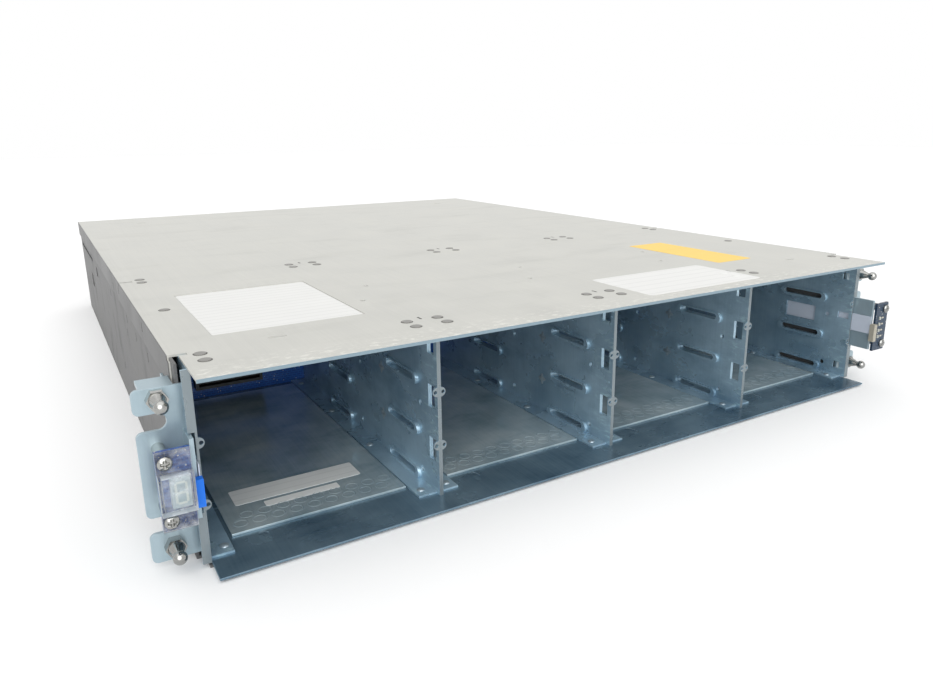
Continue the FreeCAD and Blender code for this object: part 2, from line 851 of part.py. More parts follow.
def build_ear(label, side):
    """A rack ear: a notched flange, a leg along the side wall, a top tab and an inner plate.

    The flange's inner strip, in front of the side wall, is relieved so that only the rest meets a rack post.
    """
    body = new_body(label)
    top = D.ear_bottom + D.ear_height
    half_notch = D.notch_width / 2
    throat = EAR_OUT - D.notch_depth + half_notch
    seat_in = HALF + D.seat_gap
    leg_low = D.ear_bottom + D.ear_corner
    leg_top = FLANGE_LOW - D.seat_gap
    corner = D.ear_corner
    outline = [((seat_in, D.ear_bottom), None), ((EAR_OUT, D.ear_bottom), corner)]
    notch_heights = (D.notch_rise, D.notch_rise + D.notch_spacing)
    for z in notch_heights:
        outline += [((EAR_OUT, z - half_notch), corner), ((throat, z - half_notch), None),
                    ((throat, z + half_notch), None), ((EAR_OUT, z + half_notch), corner)]
    outline += [((EAR_OUT, top), corner), ((seat_in, top), None), ((seat_in, leg_top), None),
                ((EAR_IN, leg_top), None), ((EAR_IN, leg_low), None), ((seat_in, leg_low), None)]
    page = sketch(body, "XZ_Plane", 0)
    rounded_outline(page, [((x * side, z), radius) for (x, z), radius in outline])
    pad(body, page, D.ear_sheet)
    page = sketch(body, "XZ_Plane", -D.seat_gap)
    rectangle(page, (EAR_IN * side, (seat_in + D.ear_sheet) * side), (D.ear_bottom, top))
    pad(body, page, D.ear_sheet - D.seat_gap)
    page = sketch(body, "XZ_Plane", 0)
    for z in notch_heights:
        circle(page, throat * side, z, D.notch_width)
    for z in (D.stud_rise, D.stud_rise + D.stud_spacing):
        circle(page, STUD_X * side, z, D.stud_shank + D.running_gap * 2)
    pocket(body, page, D.ear_sheet * 2)
    page = sketch(body, "YZ_Plane", WALL_OUT * side)
    rectangle(page, (-D.ear_sheet, D.ear_leg), (leg_low, leg_top))
    pad(body, page, D.ear_sheet, side < 0)
    page = sketch(body, "XY_Plane", top - D.ear_sheet)
    tab_out = EAR_OUT - D.ear_tab_inset
    rectangle(page, (tab_out * side, (tab_out - D.ear_tab_width) * side), (-D.ear_sheet, D.ear_tab_reach))
    pad(body, page, D.ear_sheet)
    page = sketch(body, "YZ_Plane", EAR_IN * side)
    rectangle(page, (BOARD_BACKS[side] + D.seat_gap, 0), (D.plate_bottom, D.plate_bottom + D.plate_height))
    pad(body, page, D.ear_sheet, side < 0)
    return node(body, label)


def build_ball_studs():
    """Ball studs on the ear flanges: hexagon, neck and ball, with a shank in the flange."""
    studs = []
    for side in (-1, 1):
        for z in (D.stud_rise, D.stud_rise + D.stud_spacing):
            x = STUD_X * side
            face = -D.ear_sheet
            hexagon = DOC.addObject("Part::Prism", "hexagon")
            hexagon.Polygon = 6
            hexagon.Placement = FreeCAD.Placement(FreeCAD.Vector(), TURNS["y"])
            bind(hexagon, "Circumradius", D.stud_hex / 2)
            bind(hexagon, "Height", D.stud_hex_height)
            put(hexagon, x, face - D.stud_hex_height, z)
            neck_start = face - D.stud_hex_height - D.stud_neck_length
            neck = DOC.addObject("Part::Cone", "neck")
            neck.Placement = FreeCAD.Placement(FreeCAD.Vector(), TURNS["y"])
            bind(neck, "Radius1", D.stud_neck / 2)
            bind(neck, "Radius2", D.stud_shoulder / 2)
            bind(neck, "Height", D.stud_neck_length)
            put(neck, x, neck_start, z)
            ball = DOC.addObject("Part::Sphere", "ball")
            bind(ball, "Radius", D.stud_ball / 2)
            put(ball, x, neck_start - D.stud_ball_reach, z)
            shank = rod("y", (x, face, z), D.stud_shank / 2, D.ear_sheet)
            studs.append(join(hexagon, neck, ball, shank))
    return node(group(*studs), "ball_studs")


# Boards on the ears


def build_ear_board(label, side):
    """A small circuit board that stands in front of the ear flange."""
    face = BOARD_FACES[side]
    plate = block((BOARD_IN * side, (BOARD_IN + D.board_width) * side), (face, BOARD_BACKS[side]),
                  (D.board_bottom, BOARD_TOP))
    holes = [rod("y", (STANDOFF_X * side, face, z), D.screw_diameter / 2 + D.running_gap, D.board_sheet)
             for z in STANDOFF_HEIGHTS]
    return node(minus(plate, *holes), label)


DISPLAY_FACE = BOARD_FACES[-1]
LENS_SEAT = DISPLAY_FACE - D.lens_wall
SCREW_SEATS = {-1: LENS_SEAT, 1: BOARD_FACES[1]}


def build_board_fixings():
    """Tubes between each flange and its board, and the round-head screws in them."""
    tubes, screws = [], []
    for side, seat in SCREW_SEATS.items():
        x = STANDOFF_X * side
        for z in STANDOFF_HEIGHTS:
            start = (x, BOARD_BACKS[side], z)
            tube = rod("y", start, D.standoff_diameter / 2, BOARD_GAPS[side])
            tubes.append(minus(tube, rod("y", start, D.screw_diameter / 2 + D.running_gap, D.standoff_bore)))
            shank_end = BOARD_BACKS[side] + D.screw_reach
            shank = rod("y", (x, seat, z), D.screw_diameter / 2, shank_end - seat)
            head = rod("y", (x, seat - D.screw_head_height, z), D.screw_head / 2, D.screw_head_height)
            screws.append(join(shank, head))
    node(group(*tubes), "board_standoffs")
    node(group(*screws), "board_screws")


def build_display():
    """The digit block on the left board and the clear cover over it."""
    middle = (D.board_bottom + BOARD_TOP) / 2
    inner = BOARD_IN + D.lens_wall + D.seat_gap
    digit = block((-inner, -inner - D.digit_width), (DISPLAY_FACE - D.digit_depth, DISPLAY_FACE),
                  (middle - D.digit_height / 2, middle + D.digit_height / 2))
    node(digit, "display_digit")
    x_range = (-BOARD_IN, -BOARD_IN - D.board_width)
    flange = block(x_range, (LENS_SEAT, DISPLAY_FACE), (D.board_bottom, BOARD_TOP))
    dome_low, dome_high = D.board_bottom + D.lens_ledge, BOARD_TOP - D.lens_ledge
    dome = block(x_range, (DISPLAY_FACE - D.lens_depth, DISPLAY_FACE), (dome_low, dome_high))
    hollow = block((-BOARD_IN - D.lens_wall, -BOARD_IN - D.board_width + D.lens_wall),
                   (DISPLAY_FACE - D.lens_depth + D.lens_wall, DISPLAY_FACE),
                   (dome_low + D.lens_wall, dome_high - D.lens_wall))
    holes = [rod("y", (-STANDOFF_X, LENS_SEAT, z), D.screw_diameter / 2 + D.running_gap, D.lens_wall)
             for z in STANDOFF_HEIGHTS]
    node(minus(join(flange, dome), hollow, *holes), "display_lens")


# Ribbons


def build_ribbon(label, side):
    """A flat cable from the ear to the midplane: a straight strip and a quarter bend inwards."""
    inner = RIBBON_OUT - D.ribbon_thickness
    z_range = (D.ribbon_bottom, D.ribbon_bottom + D.ribbon_width)
    strip = block((RIBBON_OUT * side, inner * side), (BOARD_BACKS[side], RIBBON_TURN), z_range)
    hub = inner - D.ribbon_bend
    bends = []
    for radius in (D.ribbon_bend + D.ribbon_thickness, D.ribbon_bend):
        quarter = rod("z", (hub * side, RIBBON_TURN, D.ribbon_bottom), radius, D.ribbon_width)
        quarter.Angle = DEGREES_FULL / 4
        if side < 0:
            quarter.Placement.Rotation = FreeCAD.Rotation(FreeCAD.Vector(0, 0, 1), DEGREES_FULL / 4)
        bends.append(quarter)
    bend = minus(*bends)
    end = RIBBON_TURN + D.ribbon_bend
    tail = block((hub * side, (hub - D.ribbon_tail) * side), (end, end + D.ribbon_thickness), z_range)
    return node(join(strip, bend, tail), label)


def build_ribbon_ends():
    """The stiff tab at each ribbon's front end and the socket on the midplane at its back end."""
    tabs, sockets = [], []
    middle = D.ribbon_bottom + D.ribbon_width / 2
    for side in (-1, 1):
        tab_in = BOARD_IN - D.seat_gap - D.ribbon_tab_width
        tab_low = D.ribbon_bottom - D.ribbon_tab_drop
        tabs.append(block((tab_in * side, (BOARD_IN - D.seat_gap) * side),
                          (BOARD_BACKS[side] - D.ribbon_tab_depth, BOARD_BACKS[side]),
                          (tab_low, tab_low + D.ribbon_width)))
        socket_out = RIBBON_OUT - D.ribbon_thickness - D.ribbon_bend - D.ribbon_tail
        sockets.append(block((socket_out * side, (socket_out - D.socket_width) * side),
                             (RIBBON_TURN + D.ribbon_bend - D.ribbon_thickness, MID_FRONT),
                             (middle - D.socket_height / 2, middle + D.socket_height / 2)))
    node(group(*tabs), "ribbon_tabs")
    node(group(*sockets), "ribbon_sockets")


# Midplane


def build_midplane():
    """The circuit board across the back of the bays, with an air window behind each drive."""
    body = new_body("midplane_board")
    page = sketch(body, "XZ_Plane", MID_FRONT)
    edge = CAGE_IN - D.module_gap
    rectangle(page, (-edge, edge), (MODULE_LOW, MODULE_HIGH))
    for x in BAY_LEFT_EDGES:
        middle = x + D.bay_pitch / 2
        for row in ROWS:
            low = FLOOR + D.vent_rise + D.row_pitch * row
            rectangle(page, (middle - D.vent_length / 2, middle + D.vent_length / 2),
                      (low, low + D.vent_height))
    pad(body, page, D.midplane_sheet, backwards=True)
    return node(body, "midplane_board")


def build_drive_connectors():
    """A socket with a contact slot for each of the twelve drives."""
    sockets = []
    for x in BAY_LEFT_EDGES:
        middle = x + D.bay_pitch / 2
        x_range = (middle - D.drive_plug_length / 2, middle + D.drive_plug_length / 2)
        slot_range = (x_range[0] + D.drive_plug_slot, x_range[1] - D.drive_plug_slot)
        for row in ROWS:
            low = FLOOR + D.drive_plug_rise + D.row_pitch * row
            slot_low = low + (D.drive_plug_height - D.drive_plug_slot) / 2
            shell = block(x_range, (MID_FRONT - D.drive_plug_depth, MID_FRONT),
                          (low, low + D.drive_plug_height))
            slot = block(slot_range, (MID_FRONT - D.drive_plug_depth, MID_FRONT - D.drive_plug_slot),
                         (slot_low, slot_low + D.drive_plug_slot))
            sockets.append(minus(shell, slot))
    return node(group(*sockets), "drive_connectors")


POWER_MIDDLE = (POWER_IN + POWER_OUT) / 2
MODULE_MIDDLE = (MODULE_LOW + MODULE_HIGH) / 2
POWER_HEADER_LEVELS = (MODULE_MIDDLE - D.power_header_height / 2,
                       MODULE_MIDDLE + D.power_header_height / 2)
CONTROLLER_LEVELS = {
    "lower": (MODULE_LOW, SHELF - D.seat_gap),
    "upper": (SHELF + D.module_sheet + D.seat_gap, MODULE_HIGH),
}


def data_connector_levels(low):
    start = low + D.module_sheet + D.board_rise + D.board_sheet
    return start, start + D.data_header_height


def build_module_headers():
    """The headers on the back of the midplane that the four modules plug into."""
    y_range = (MID_REAR, MID_REAR + D.header_depth)
    headers = []
    for side in (-1, 1):
        x = POWER_MIDDLE * side
        headers.append(block((x - D.power_header_width / 2, x + D.power_header_width / 2), y_range,
                             POWER_HEADER_LEVELS))
    for low, high in CONTROLLER_LEVELS.values():
        headers.append(block((-D.data_header_width / 2, D.data_header_width / 2), y_range,
                             data_connector_levels(low)))
    return node(group(*headers), "module_headers")


# Module bays


def build_partitions():
    """An upright sheet between each power bay and the controllers, flanged against the midplane."""
    sheets = []
    for side in (-1, 1):
        body = new_body("partition")
        page = sketch(body, "XY_Plane", D.pan_sheet)
        flange = PARTITION_IN - D.partition_flange
        end = REAR - D.seat_gap
        step = MID_REAR + D.module_sheet
        outline = [(PARTITION_OUT, MID_REAR), (PARTITION_OUT, end), (PARTITION_IN, end),
                   (PARTITION_IN, step), (flange, step), (flange, MID_REAR)]
        polygon(page, [(x * side, y) for x, y in outline])
        pad(body, page, UNDER - D.pan_sheet)
        sheets.append(body)
    return node(group(*sheets), "module_partitions")


def build_controller_shelf():
    """The shelf between the two controllers, with its sides turned down against the partitions."""
    body = new_body("controller_shelf")
    front = MID_REAR + D.shelf_setback
    page = sketch(body, "XZ_Plane", front)
    top = SHELF + D.module_sheet
    low = top - D.shelf_flange
    inner = PARTITION_IN - D.module_sheet
    polygon(page, [(-PARTITION_IN, low), (-inner, low), (-inner, SHELF), (inner, SHELF), (inner, low),
                   (PARTITION_IN, low), (PARTITION_IN, top), (-PARTITION_IN, top)])
    pad(body, page, REAR - D.seat_gap - front, backwards=True)
    return node(body, "controller_shelf")


# Levers shared by the modules


def lever_axis(seat):
    """Where a lever's pivot stands behind the panel it is hinged on."""
    return seat + D.lever_standoff


def lever_cheeks(x, seat, z):
    """Two cheeks on a panel with the fixed pivot pin between them."""
    y = lever_axis(seat)
    reach = y + D.lever_barrel / 2
    inner = D.lever_width / 2 + D.seat_gap
    outer = inner + D.lever_cheek
    cheeks = [block((x + inner * side, x + outer * side), (seat, reach),
                    (z - D.lever_barrel / 2, z + D.lever_barrel / 2)) for side in (-1, 1)]
    return cheeks + [rod("x", (x - outer, y, z), D.lever_pin / 2, outer * 2)]


def build_lever(label, x, seat, z, length):
    """A latch lever: a barrel on the pivot, a flat arm and a finger hook at its end."""
    y = lever_axis(seat)
    x_range = (x - D.lever_width / 2, x + D.lever_width / 2)
    barrel = rod("x", (x_range[0], y, z), D.lever_barrel / 2, D.lever_width)
    arm = block(x_range, (y - D.lever_sheet / 2, y + D.lever_sheet / 2), (z, z + length))
    hook = block(x_range, (y - D.lever_sheet / 2, y + D.lever_sheet / 2 + D.lever_hook),
                 (z + length - D.lever_sheet, z + length))
    bore = rod("x", (x_range[0], y, z), D.lever_pin / 2 + D.running_gap, D.lever_width)
    return node(minus(join(barrel, arm, hook), bore), label)


# Power-and-cooling modules

PANEL_FACE = REAR
PANEL_BACK = REAR - D.panel_sheet
FAN_X = POWER_IN + D.fan_inset + D.fan_size / 2
FAN_INSET = D.module_sheet + D.fan_seat + D.fan_size / 2
FAN_HEIGHTS = {"lower": MODULE_LOW + FAN_INSET, "upper": MODULE_HIGH - FAN_INSET}
FAN_FRONT = PANEL_BACK - D.fan_depth
INLET_OUT = POWER_OUT - D.inlet_inset
INLET_X = INLET_OUT - D.inlet_width / 2
INLET_LOW = MODULE_LOW + D.inlet_rise
ROCKER_X = INLET_X
ROCKER_MIDDLE = INLET_LOW + D.inlet_height + D.inlet_inset + D.rocker_height / 2 + D.inlet_wall
POWER_LEVER_X = INLET_OUT - D.power_lever_inset


def build_power_case(label, side):
    """The module's box, open at the back, with air slots and a connector window in its front."""
    shell = block((POWER_IN * side, POWER_OUT * side), (MODULE_FRONT, PANEL_BACK), (MODULE_LOW, MODULE_HIGH))
    wall = D.module_sheet
    hollow = block(((POWER_IN + wall) * side, (POWER_OUT - wall) * side), (MODULE_FRONT + wall, PANEL_BACK),
                   (MODULE_LOW + wall, MODULE_HIGH - wall))
    slots = []
    half_slot = D.power_width / 2 - D.case_slot_margin
    for offset in (-3, -2, 2, 3):
        z = MODULE_MIDDLE + D.case_slot_pitch * offset
        slots.append(block(((POWER_MIDDLE - half_slot) * side, (POWER_MIDDLE + half_slot) * side),
                           (MODULE_FRONT, MODULE_FRONT + wall), (z, z + D.grille_slot)))
    return node(minus(shell, hollow, *slots), label)


def build_power_panel(label, side):
    """The back panel: a slotted grille over each fan, openings for inlet and switch, lever cheeks."""
    y_range = (PANEL_BACK, PANEL_FACE)
    sheet = block((POWER_IN * side, POWER_OUT * side), y_range, (MODULE_LOW, MODULE_HIGH))
    openings = []
    half_slot = D.fan_bore / 2 - D.grille_slot
    for fan_height in FAN_HEIGHTS.values():
        for k in range(-3, 4):
            z = fan_height + D.grille_pitch * k
            openings.append(block(((FAN_X - half_slot) * side, (FAN_X + half_slot) * side), y_range,
                                  (z - D.grille_slot / 2, z + D.grille_slot / 2)))
    half_inlet = D.inlet_width / 2
    openings.append(block(((INLET_X - half_inlet) * side, (INLET_X + half_inlet) * side), y_range,
                          (INLET_LOW, INLET_LOW + D.inlet_height)))
    half_frame = D.rocker_width / 2 + D.inlet_wall
    tall_frame = D.rocker_height / 2 + D.inlet_wall
    openings.append(block(((ROCKER_X - half_frame) * side, (ROCKER_X + half_frame) * side), y_range,
                          (ROCKER_MIDDLE - tall_frame, ROCKER_MIDDLE + tall_frame)))
    cheeks = lever_cheeks(POWER_LEVER_X * side, PANEL_FACE, MODULE_LOW + D.power_lever_rise)
    return node(join(minus(sheet, *openings), *cheeks), label)


def build_inlet(label, side):
    """The mains inlet with its three blades, and the frame that carries the rocker switch."""
    half = D.inlet_width / 2
    outer = PANEL_FACE + D.inlet_proud
    inner = PANEL_FACE - D.inlet_depth
    x = INLET_X * side
    middle = INLET_LOW + D.inlet_height / 2
    shell = block((x - half, x + half), (inner, outer), (INLET_LOW, INLET_LOW + D.inlet_height))
    cavity = block((x - half + D.inlet_wall, x + half - D.inlet_wall), (inner + D.inlet_wall, outer),
                   (INLET_LOW + D.inlet_wall, INLET_LOW + D.inlet_height - D.inlet_wall))
    blades = []
    for offset, lift in ((-1, -D.pin_lift), (0, D.pin_lift), (1, -D.pin_lift)):
        blade_x = x + D.pin_spread * offset
        blade_z = middle + lift
        blades.append(block((blade_x - D.pin_width / 2, blade_x + D.pin_width / 2),
                            (inner + D.inlet_wall, PANEL_FACE),
                            (blade_z - D.pin_height / 2, blade_z + D.pin_height / 2)))
    half_frame = D.rocker_width / 2 + D.inlet_wall
    tall_frame = D.rocker_height / 2 + D.inlet_wall
    frame_back = PANEL_FACE - D.rocker_frame_depth
    rocker_x = ROCKER_X * side
    frame = block((rocker_x - half_frame, rocker_x + half_frame), (frame_back, outer),
                  (ROCKER_MIDDLE - tall_frame, ROCKER_MIDDLE + tall_frame))
    opening = block((rocker_x - D.rocker_width / 2, rocker_x + D.rocker_width / 2), (frame_back, outer),
                    (ROCKER_MIDDLE - D.rocker_height / 2, ROCKER_MIDDLE + D.rocker_height / 2))
    pivot = rod("x", (rocker_x - half_frame, PANEL_FACE - D.rocker_depth / 2, ROCKER_MIDDLE),
                D.rocker_pivot / 2 + D.running_gap, half_frame * 2)
    bridge = block((rocker_x - half_frame, rocker_x + half_frame), (frame_back, PANEL_BACK - D.seat_gap),
                   (INLET_LOW + D.inlet_height, ROCKER_MIDDLE - tall_frame))
    housing = join(minus(shell, cavity), *blades, bridge, minus(frame, opening, pivot))
    return node(housing, label)


def build_rocker(label, side):
    """The rocker: a shallow vee face on a narrow body, with pivot stubs at both sides."""
    x = ROCKER_X * side
    half = D.rocker_width / 2 - D.seat_gap
    y = PANEL_FACE - D.rocker_depth / 2
    body = new_body(label + "_body")
    page = sketch(body, "YZ_Plane", x - half)
    reach = D.rocker_height / 2 - D.inlet_wall
    waist = D.rocker_waist / 2
    back = y - D.rocker_depth / 2
    valley = y + D.rocker_depth / 2
    crest = PANEL_FACE + D.inlet_proud
    polygon(page, [(back, ROCKER_MIDDLE - waist), (valley - D.inlet_proud, ROCKER_MIDDLE - reach),
                   (valley - D.inlet_proud / 2, ROCKER_MIDDLE),
                   (crest, ROCKER_MIDDLE + reach), (valley - D.inlet_proud, ROCKER_MIDDLE + reach),
                   (back, ROCKER_MIDDLE + waist)])
    pad(body, page, half * 2)
    stub_half = D.rocker_width / 2 + D.inlet_wall - D.seat_gap
    stub = rod("x", (x - stub_half, y, ROCKER_MIDDLE), D.rocker_pivot / 2, stub_half * 2)
    return node(join(body, stub), label)


STRUT_ANGLES = (30, 150, 270)


def build_fan_frames(label, side):
    """Two square fan frames with a round duct, three struts and a fixed shaft each."""
    frames = []
    for fan_height in FAN_HEIGHTS.values():
        x = FAN_X * side
        half = D.fan_size / 2
        square = block((x - half, x + half), (FAN_FRONT, PANEL_BACK), (fan_height - half, fan_height + half))
        duct = rod("y", (x, FAN_FRONT, fan_height), D.fan_bore / 2, D.fan_depth)
        hub = rod("y", (x, FAN_FRONT, fan_height), D.fan_hub / 2, D.fan_strut_depth)
        shaft = rod("y", (x, FAN_FRONT, fan_height), D.fan_shaft / 2, D.fan_depth - D.fan_strut_depth)
        struts = []
        for angle in STRUT_ANGLES:
            strut = DOC.addObject("Part::Box", "strut")
            strut.Placement.Rotation = FreeCAD.Rotation(FreeCAD.Vector(0, 1, 0), angle)
            bind(strut, "Length", D.fan_bore / 2 + D.fan_tip_gap)
            bind(strut, "Width", D.fan_strut_depth)
            bind(strut, "Height", D.fan_strut)
            put(strut, x, FAN_FRONT, fan_height)
            struts.append(strut)
        frames.append(join(minus(square, duct), hub, shaft, *struts))
    return node(group(*frames), label)


BLADE_COUNT = 7
BLADE_ROOT_PITCH = 52
BLADE_TIP_PITCH = 30


def blade_section(radius, chord, thickness, pitch, front, back):
    """A four-cornered blade section at a radius, turned to its pitch and kept within the hub's length."""
    lean = math.radians(pitch)
    middle = (front + back) / 2
    corners = []
    for along, across in ((-1, -1), (1, -1), (1, 1), (-1, 1)):
        s = along * chord / 2
        w = across * thickness / 2
        corners.append(FreeCAD.Vector(radius, middle + s * math.sin(lean) + w * math.cos(lean),
                                      s * math.cos(lean) - w * math.sin(lean)))
    return Part.makePolygon(corners + corners[:1])


def build_impeller(label, side, fan_height):
    """A fan rotor: a hub with a blind bore and seven blades whose pitch falls towards the tip."""
    hub_radius = D.fan_hub.value / 2
    tip_radius = D.fan_bore.value / 2 - D.fan_tip_gap.value
    front = D.fan_strut_depth.value + D.seat_gap.value
    back = D.fan_depth.value - D.seat_gap.value
    length = back - front
    axis = FreeCAD.Vector(0, 1, 0)
    centre = FreeCAD.Vector(0, front, 0)
    rotor = Part.makeCylinder(hub_radius, length, centre, axis)
    bore_radius = D.fan_shaft.value / 2 + D.running_gap.value
    bore = Part.makeCylinder(bore_radius, length - D.fan_strut_depth.value + D.seat_gap.value, centre, axis)
    chord = D.blade_chord.value
    root_radius = hub_radius - D.blade_sink.value
    root = blade_section(root_radius, chord, D.blade_root_sheet.value, BLADE_ROOT_PITCH, front, back)
    tip = blade_section(tip_radius, chord, D.blade_tip_sheet.value, BLADE_TIP_PITCH, front, back)
    swept = Part.makeCylinder(tip_radius, length, centre, axis)
    blade = Part.makeLoft([root, tip], True, True).common(swept)
    blades = []
    for k in range(BLADE_COUNT):
        turned = blade.copy()
        turned.rotate(FreeCAD.Vector(), axis, DEGREES_FULL * k / BLADE_COUNT)
        blades.append(turned)
    shape = rotor.fuse(blades).cut(bore).removeSplitter()
    rotor_part = DOC.addObject("Part::Feature", label)
    rotor_part.Shape = shape
    rotor_part.Placement = FreeCAD.Placement(FreeCAD.Vector(), FreeCAD.Rotation())
    put(rotor_part, FAN_X * side, FAN_FRONT, fan_height)
    return node(rotor_part, label)


def build_impellers():
    """The four rotors: one is made and the others are the same piece again."""
    places = [(hand, side, place) for hand, side in (("left", -1), ("right", 1)) for place in FAN_HEIGHTS]
    rotor = None
    for hand, side, place in places:
        label = f"power_module_{hand}_{place}_impeller"
        if rotor is None:
            rotor = build_impeller(label, side, FAN_HEIGHTS[place])
        else:
            copy_at(rotor, label, FAN_X * side, FAN_FRONT, FAN_HEIGHTS[place])


def build_power_connector(label, side):
    """The plug on the module's front that meets its header on the midplane."""
    x = POWER_MIDDLE * side
    return node(block((x - D.power_header_width / 2, x + D.power_header_width / 2),
                      (MID_REAR + D.header_depth + D.seat_gap, MODULE_FRONT),
                      POWER_HEADER_LEVELS), label)


def build_power_module(hand, side):
    prefix = f"power_module_{hand}"
    build_power_case(f"{prefix}_case", side)
    build_power_panel(f"{prefix}_back_panel", side)
    build_inlet(f"{prefix}_inlet", side)
    build_rocker(f"{prefix}_switch", side)
    build_fan_frames(f"{prefix}_fan_frames", side)
    build_lever(f"{prefix}_lever", POWER_LEVER_X * side, PANEL_FACE, MODULE_LOW + D.power_lever_rise,
                D.power_lever_length)
    build_power_connector(f"{prefix}_connector", side)


# Controllers

CONTROLLER_HALF = PARTITION_IN - D.module_sheet - D.module_gap
DATA_LEVER_X = CONTROLLER_HALF - D.data_lever_inset
BOARD_HALF = CONTROLLER_HALF - D.module_sheet - D.board_margin
BOARD_FRONT = MODULE_FRONT + D.board_setback
PORT_BACK = PANEL_FACE - D.port_depth
PORTS = ("wide", "wide", "tall", "tall", "wide")


def port_outlines(low):
    """The x and z ranges of each port, side by side and centred on the face plate."""
    sizes = {"wide": (D.wide_port_width, D.wide_port_height), "tall": (D.tall_port_width, D.tall_port_height)}
    total = sum((sizes[kind][0] for kind in PORTS), size(0)) + D.port_gap * (len(PORTS) - 1)
    x = -total / 2
    base = low + D.module_sheet + D.board_rise + D.board_sheet
    outlines = []
    for kind in PORTS:
        width, height = sizes[kind]
        outlines.append(((x, x + width), (base, base + height)))
        x = x + width + D.port_gap
    return outlines


def build_controller_case(label, low, high):
    """A flat closed box with port openings in its face plate, board posts and lever cheeks."""
    wall = D.module_sheet
    shell = block((-CONTROLLER_HALF, CONTROLLER_HALF), (MODULE_FRONT, PANEL_FACE), (low, high))
    hollow = block((wall - CONTROLLER_HALF, CONTROLLER_HALF - wall), (MODULE_FRONT + wall, PANEL_FACE - wall),
                   (low + wall, high - wall))
    windows = [block(xs, (PANEL_FACE - wall, PANEL_FACE), zs) for xs, zs in port_outlines(low)]
    half_plug = D.data_header_width / 2 + D.module_gap
    plug_low, plug_high = data_connector_levels(low)
    windows.append(block((-half_plug, half_plug), (MODULE_FRONT, MODULE_FRONT + wall),
                         (plug_low - D.module_gap, plug_high + D.module_gap)))
    posts = []
    for x in (D.post_inset - BOARD_HALF, BOARD_HALF - D.post_inset):
        for y in (BOARD_FRONT + D.post_inset, PORT_BACK - D.post_inset):
            posts.append(rod("z", (x, y, low + wall), D.post_diameter / 2, D.board_rise))
    cheeks = []
    for side in (-1, 1):
        cheeks += lever_cheeks(DATA_LEVER_X * side, PANEL_FACE, low + D.data_lever_rise)
    return node(join(minus(shell, hollow, *windows), *posts, *cheeks), label)


def build_controller_board(label, low):
    base = low + D.module_sheet + D.board_rise
    return node(block((-BOARD_HALF, BOARD_HALF), (BOARD_FRONT, PANEL_FACE - D.module_sheet - D.seat_gap),
                      (base, base + D.board_sheet)), label)


def build_ports(label, low):
    """The metal shells of the ports, open to the back, standing on the board."""
    shells = []
    for (x0, x1), (z0, z1) in port_outlines(low):
        gap = D.seat_gap
        wall = D.port_wall
        shell = block((x0 + gap, x1 - gap), (PORT_BACK, PANEL_FACE + D.port_proud), (z0, z1 - gap))
        mouth = block((x0 + gap + wall, x1 - gap - wall), (PORT_BACK + wall, PANEL_FACE + D.port_proud),
                      (z0 + wall, z1 - gap - wall))
        shells.append(minus(shell, mouth))
    return node(group(*shells), label)


def build_data_connector(label, low):
    """The plug at the front edge of the controller board."""
    return node(block((-D.data_header_width / 2, D.data_header_width / 2),
                      (MID_REAR + D.header_depth + D.seat_gap, BOARD_FRONT + D.plug_overlap),
                      data_connector_levels(low)), label)


def build_controller(place, low, high):
    prefix = f"controller_{place}"
    build_controller_case(f"{prefix}_case", low, high)
    build_controller_board(f"{prefix}_board", low)
    build_ports(f"{prefix}_ports", low)
    build_data_connector(f"{prefix}_connector", low)
    for hand, side in (("left", -1), ("right", 1)):
        build_lever(f"{prefix}_{hand}_lever", DATA_LEVER_X * side, PANEL_FACE, low + D.data_lever_rise,
                    D.data_lever_length)


def build_all():
    build_base_pan()
    build_top_cover()
    build_bay_floor()
    build_liner_plates()
    build_cage()
    build_ear("left_ear", -1)
    build_ear("right_ear", 1)
    build_ball_studs()
    build_ear_board("display_board", -1)
    build_ear_board("indicator_board", 1)
    build_board_fixings()
    build_display()
    build_ribbon("left_ribbon", -1)
    build_ribbon("right_ribbon", 1)
    build_ribbon_ends()
    build_midplane()
    build_drive_connectors()
    build_module_headers()
    build_partitions()
    build_controller_shelf()
    build_power_module("left", -1)
    build_power_module("right", 1)
    build_impellers()
    for place, (low, high) in CONTROLLER_LEVELS.items():
        build_controller(place, low, high)


def check_document():
    """Stops unless every object is sound and every sub-part has a valid shape."""
    for thing in DOC.Objects:
        faults = [word for word in thing.State if word in ("Invalid", "Error")]
        if faults:
            raise RuntimeError(f"{thing.Name} ({thing.Label}) is {faults}")
    for thing in NODES:
        shape = Part.getShape(thing)
        if shape.isNull() or not shape.isValid():
            raise RuntimeError(f"{thing.Label} has no valid shape")


def write_parts():
    os.makedirs("parts", exist_ok=True)
    for thing in NODES:
        Part.getShape(thing).exportStep(f"parts/{thing.Label}.step")
    print(len(NODES), "sub-parts written")


build_all()
DOC.recompute()
check_document()
write_parts()
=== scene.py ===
# %% [markdown]
# # A rack storage enclosure
# This lesson dresses a two-unit drive enclosure: bright zinc-coated sheet steel, twelve empty drive
# bays at the front and plug-in modules at the back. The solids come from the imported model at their
# real size. Here they get their finishes, and the small things that a press, a rivet gun or a label
# roll adds are modelled as surfaces worked out with numpy.

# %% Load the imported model
import json
import math

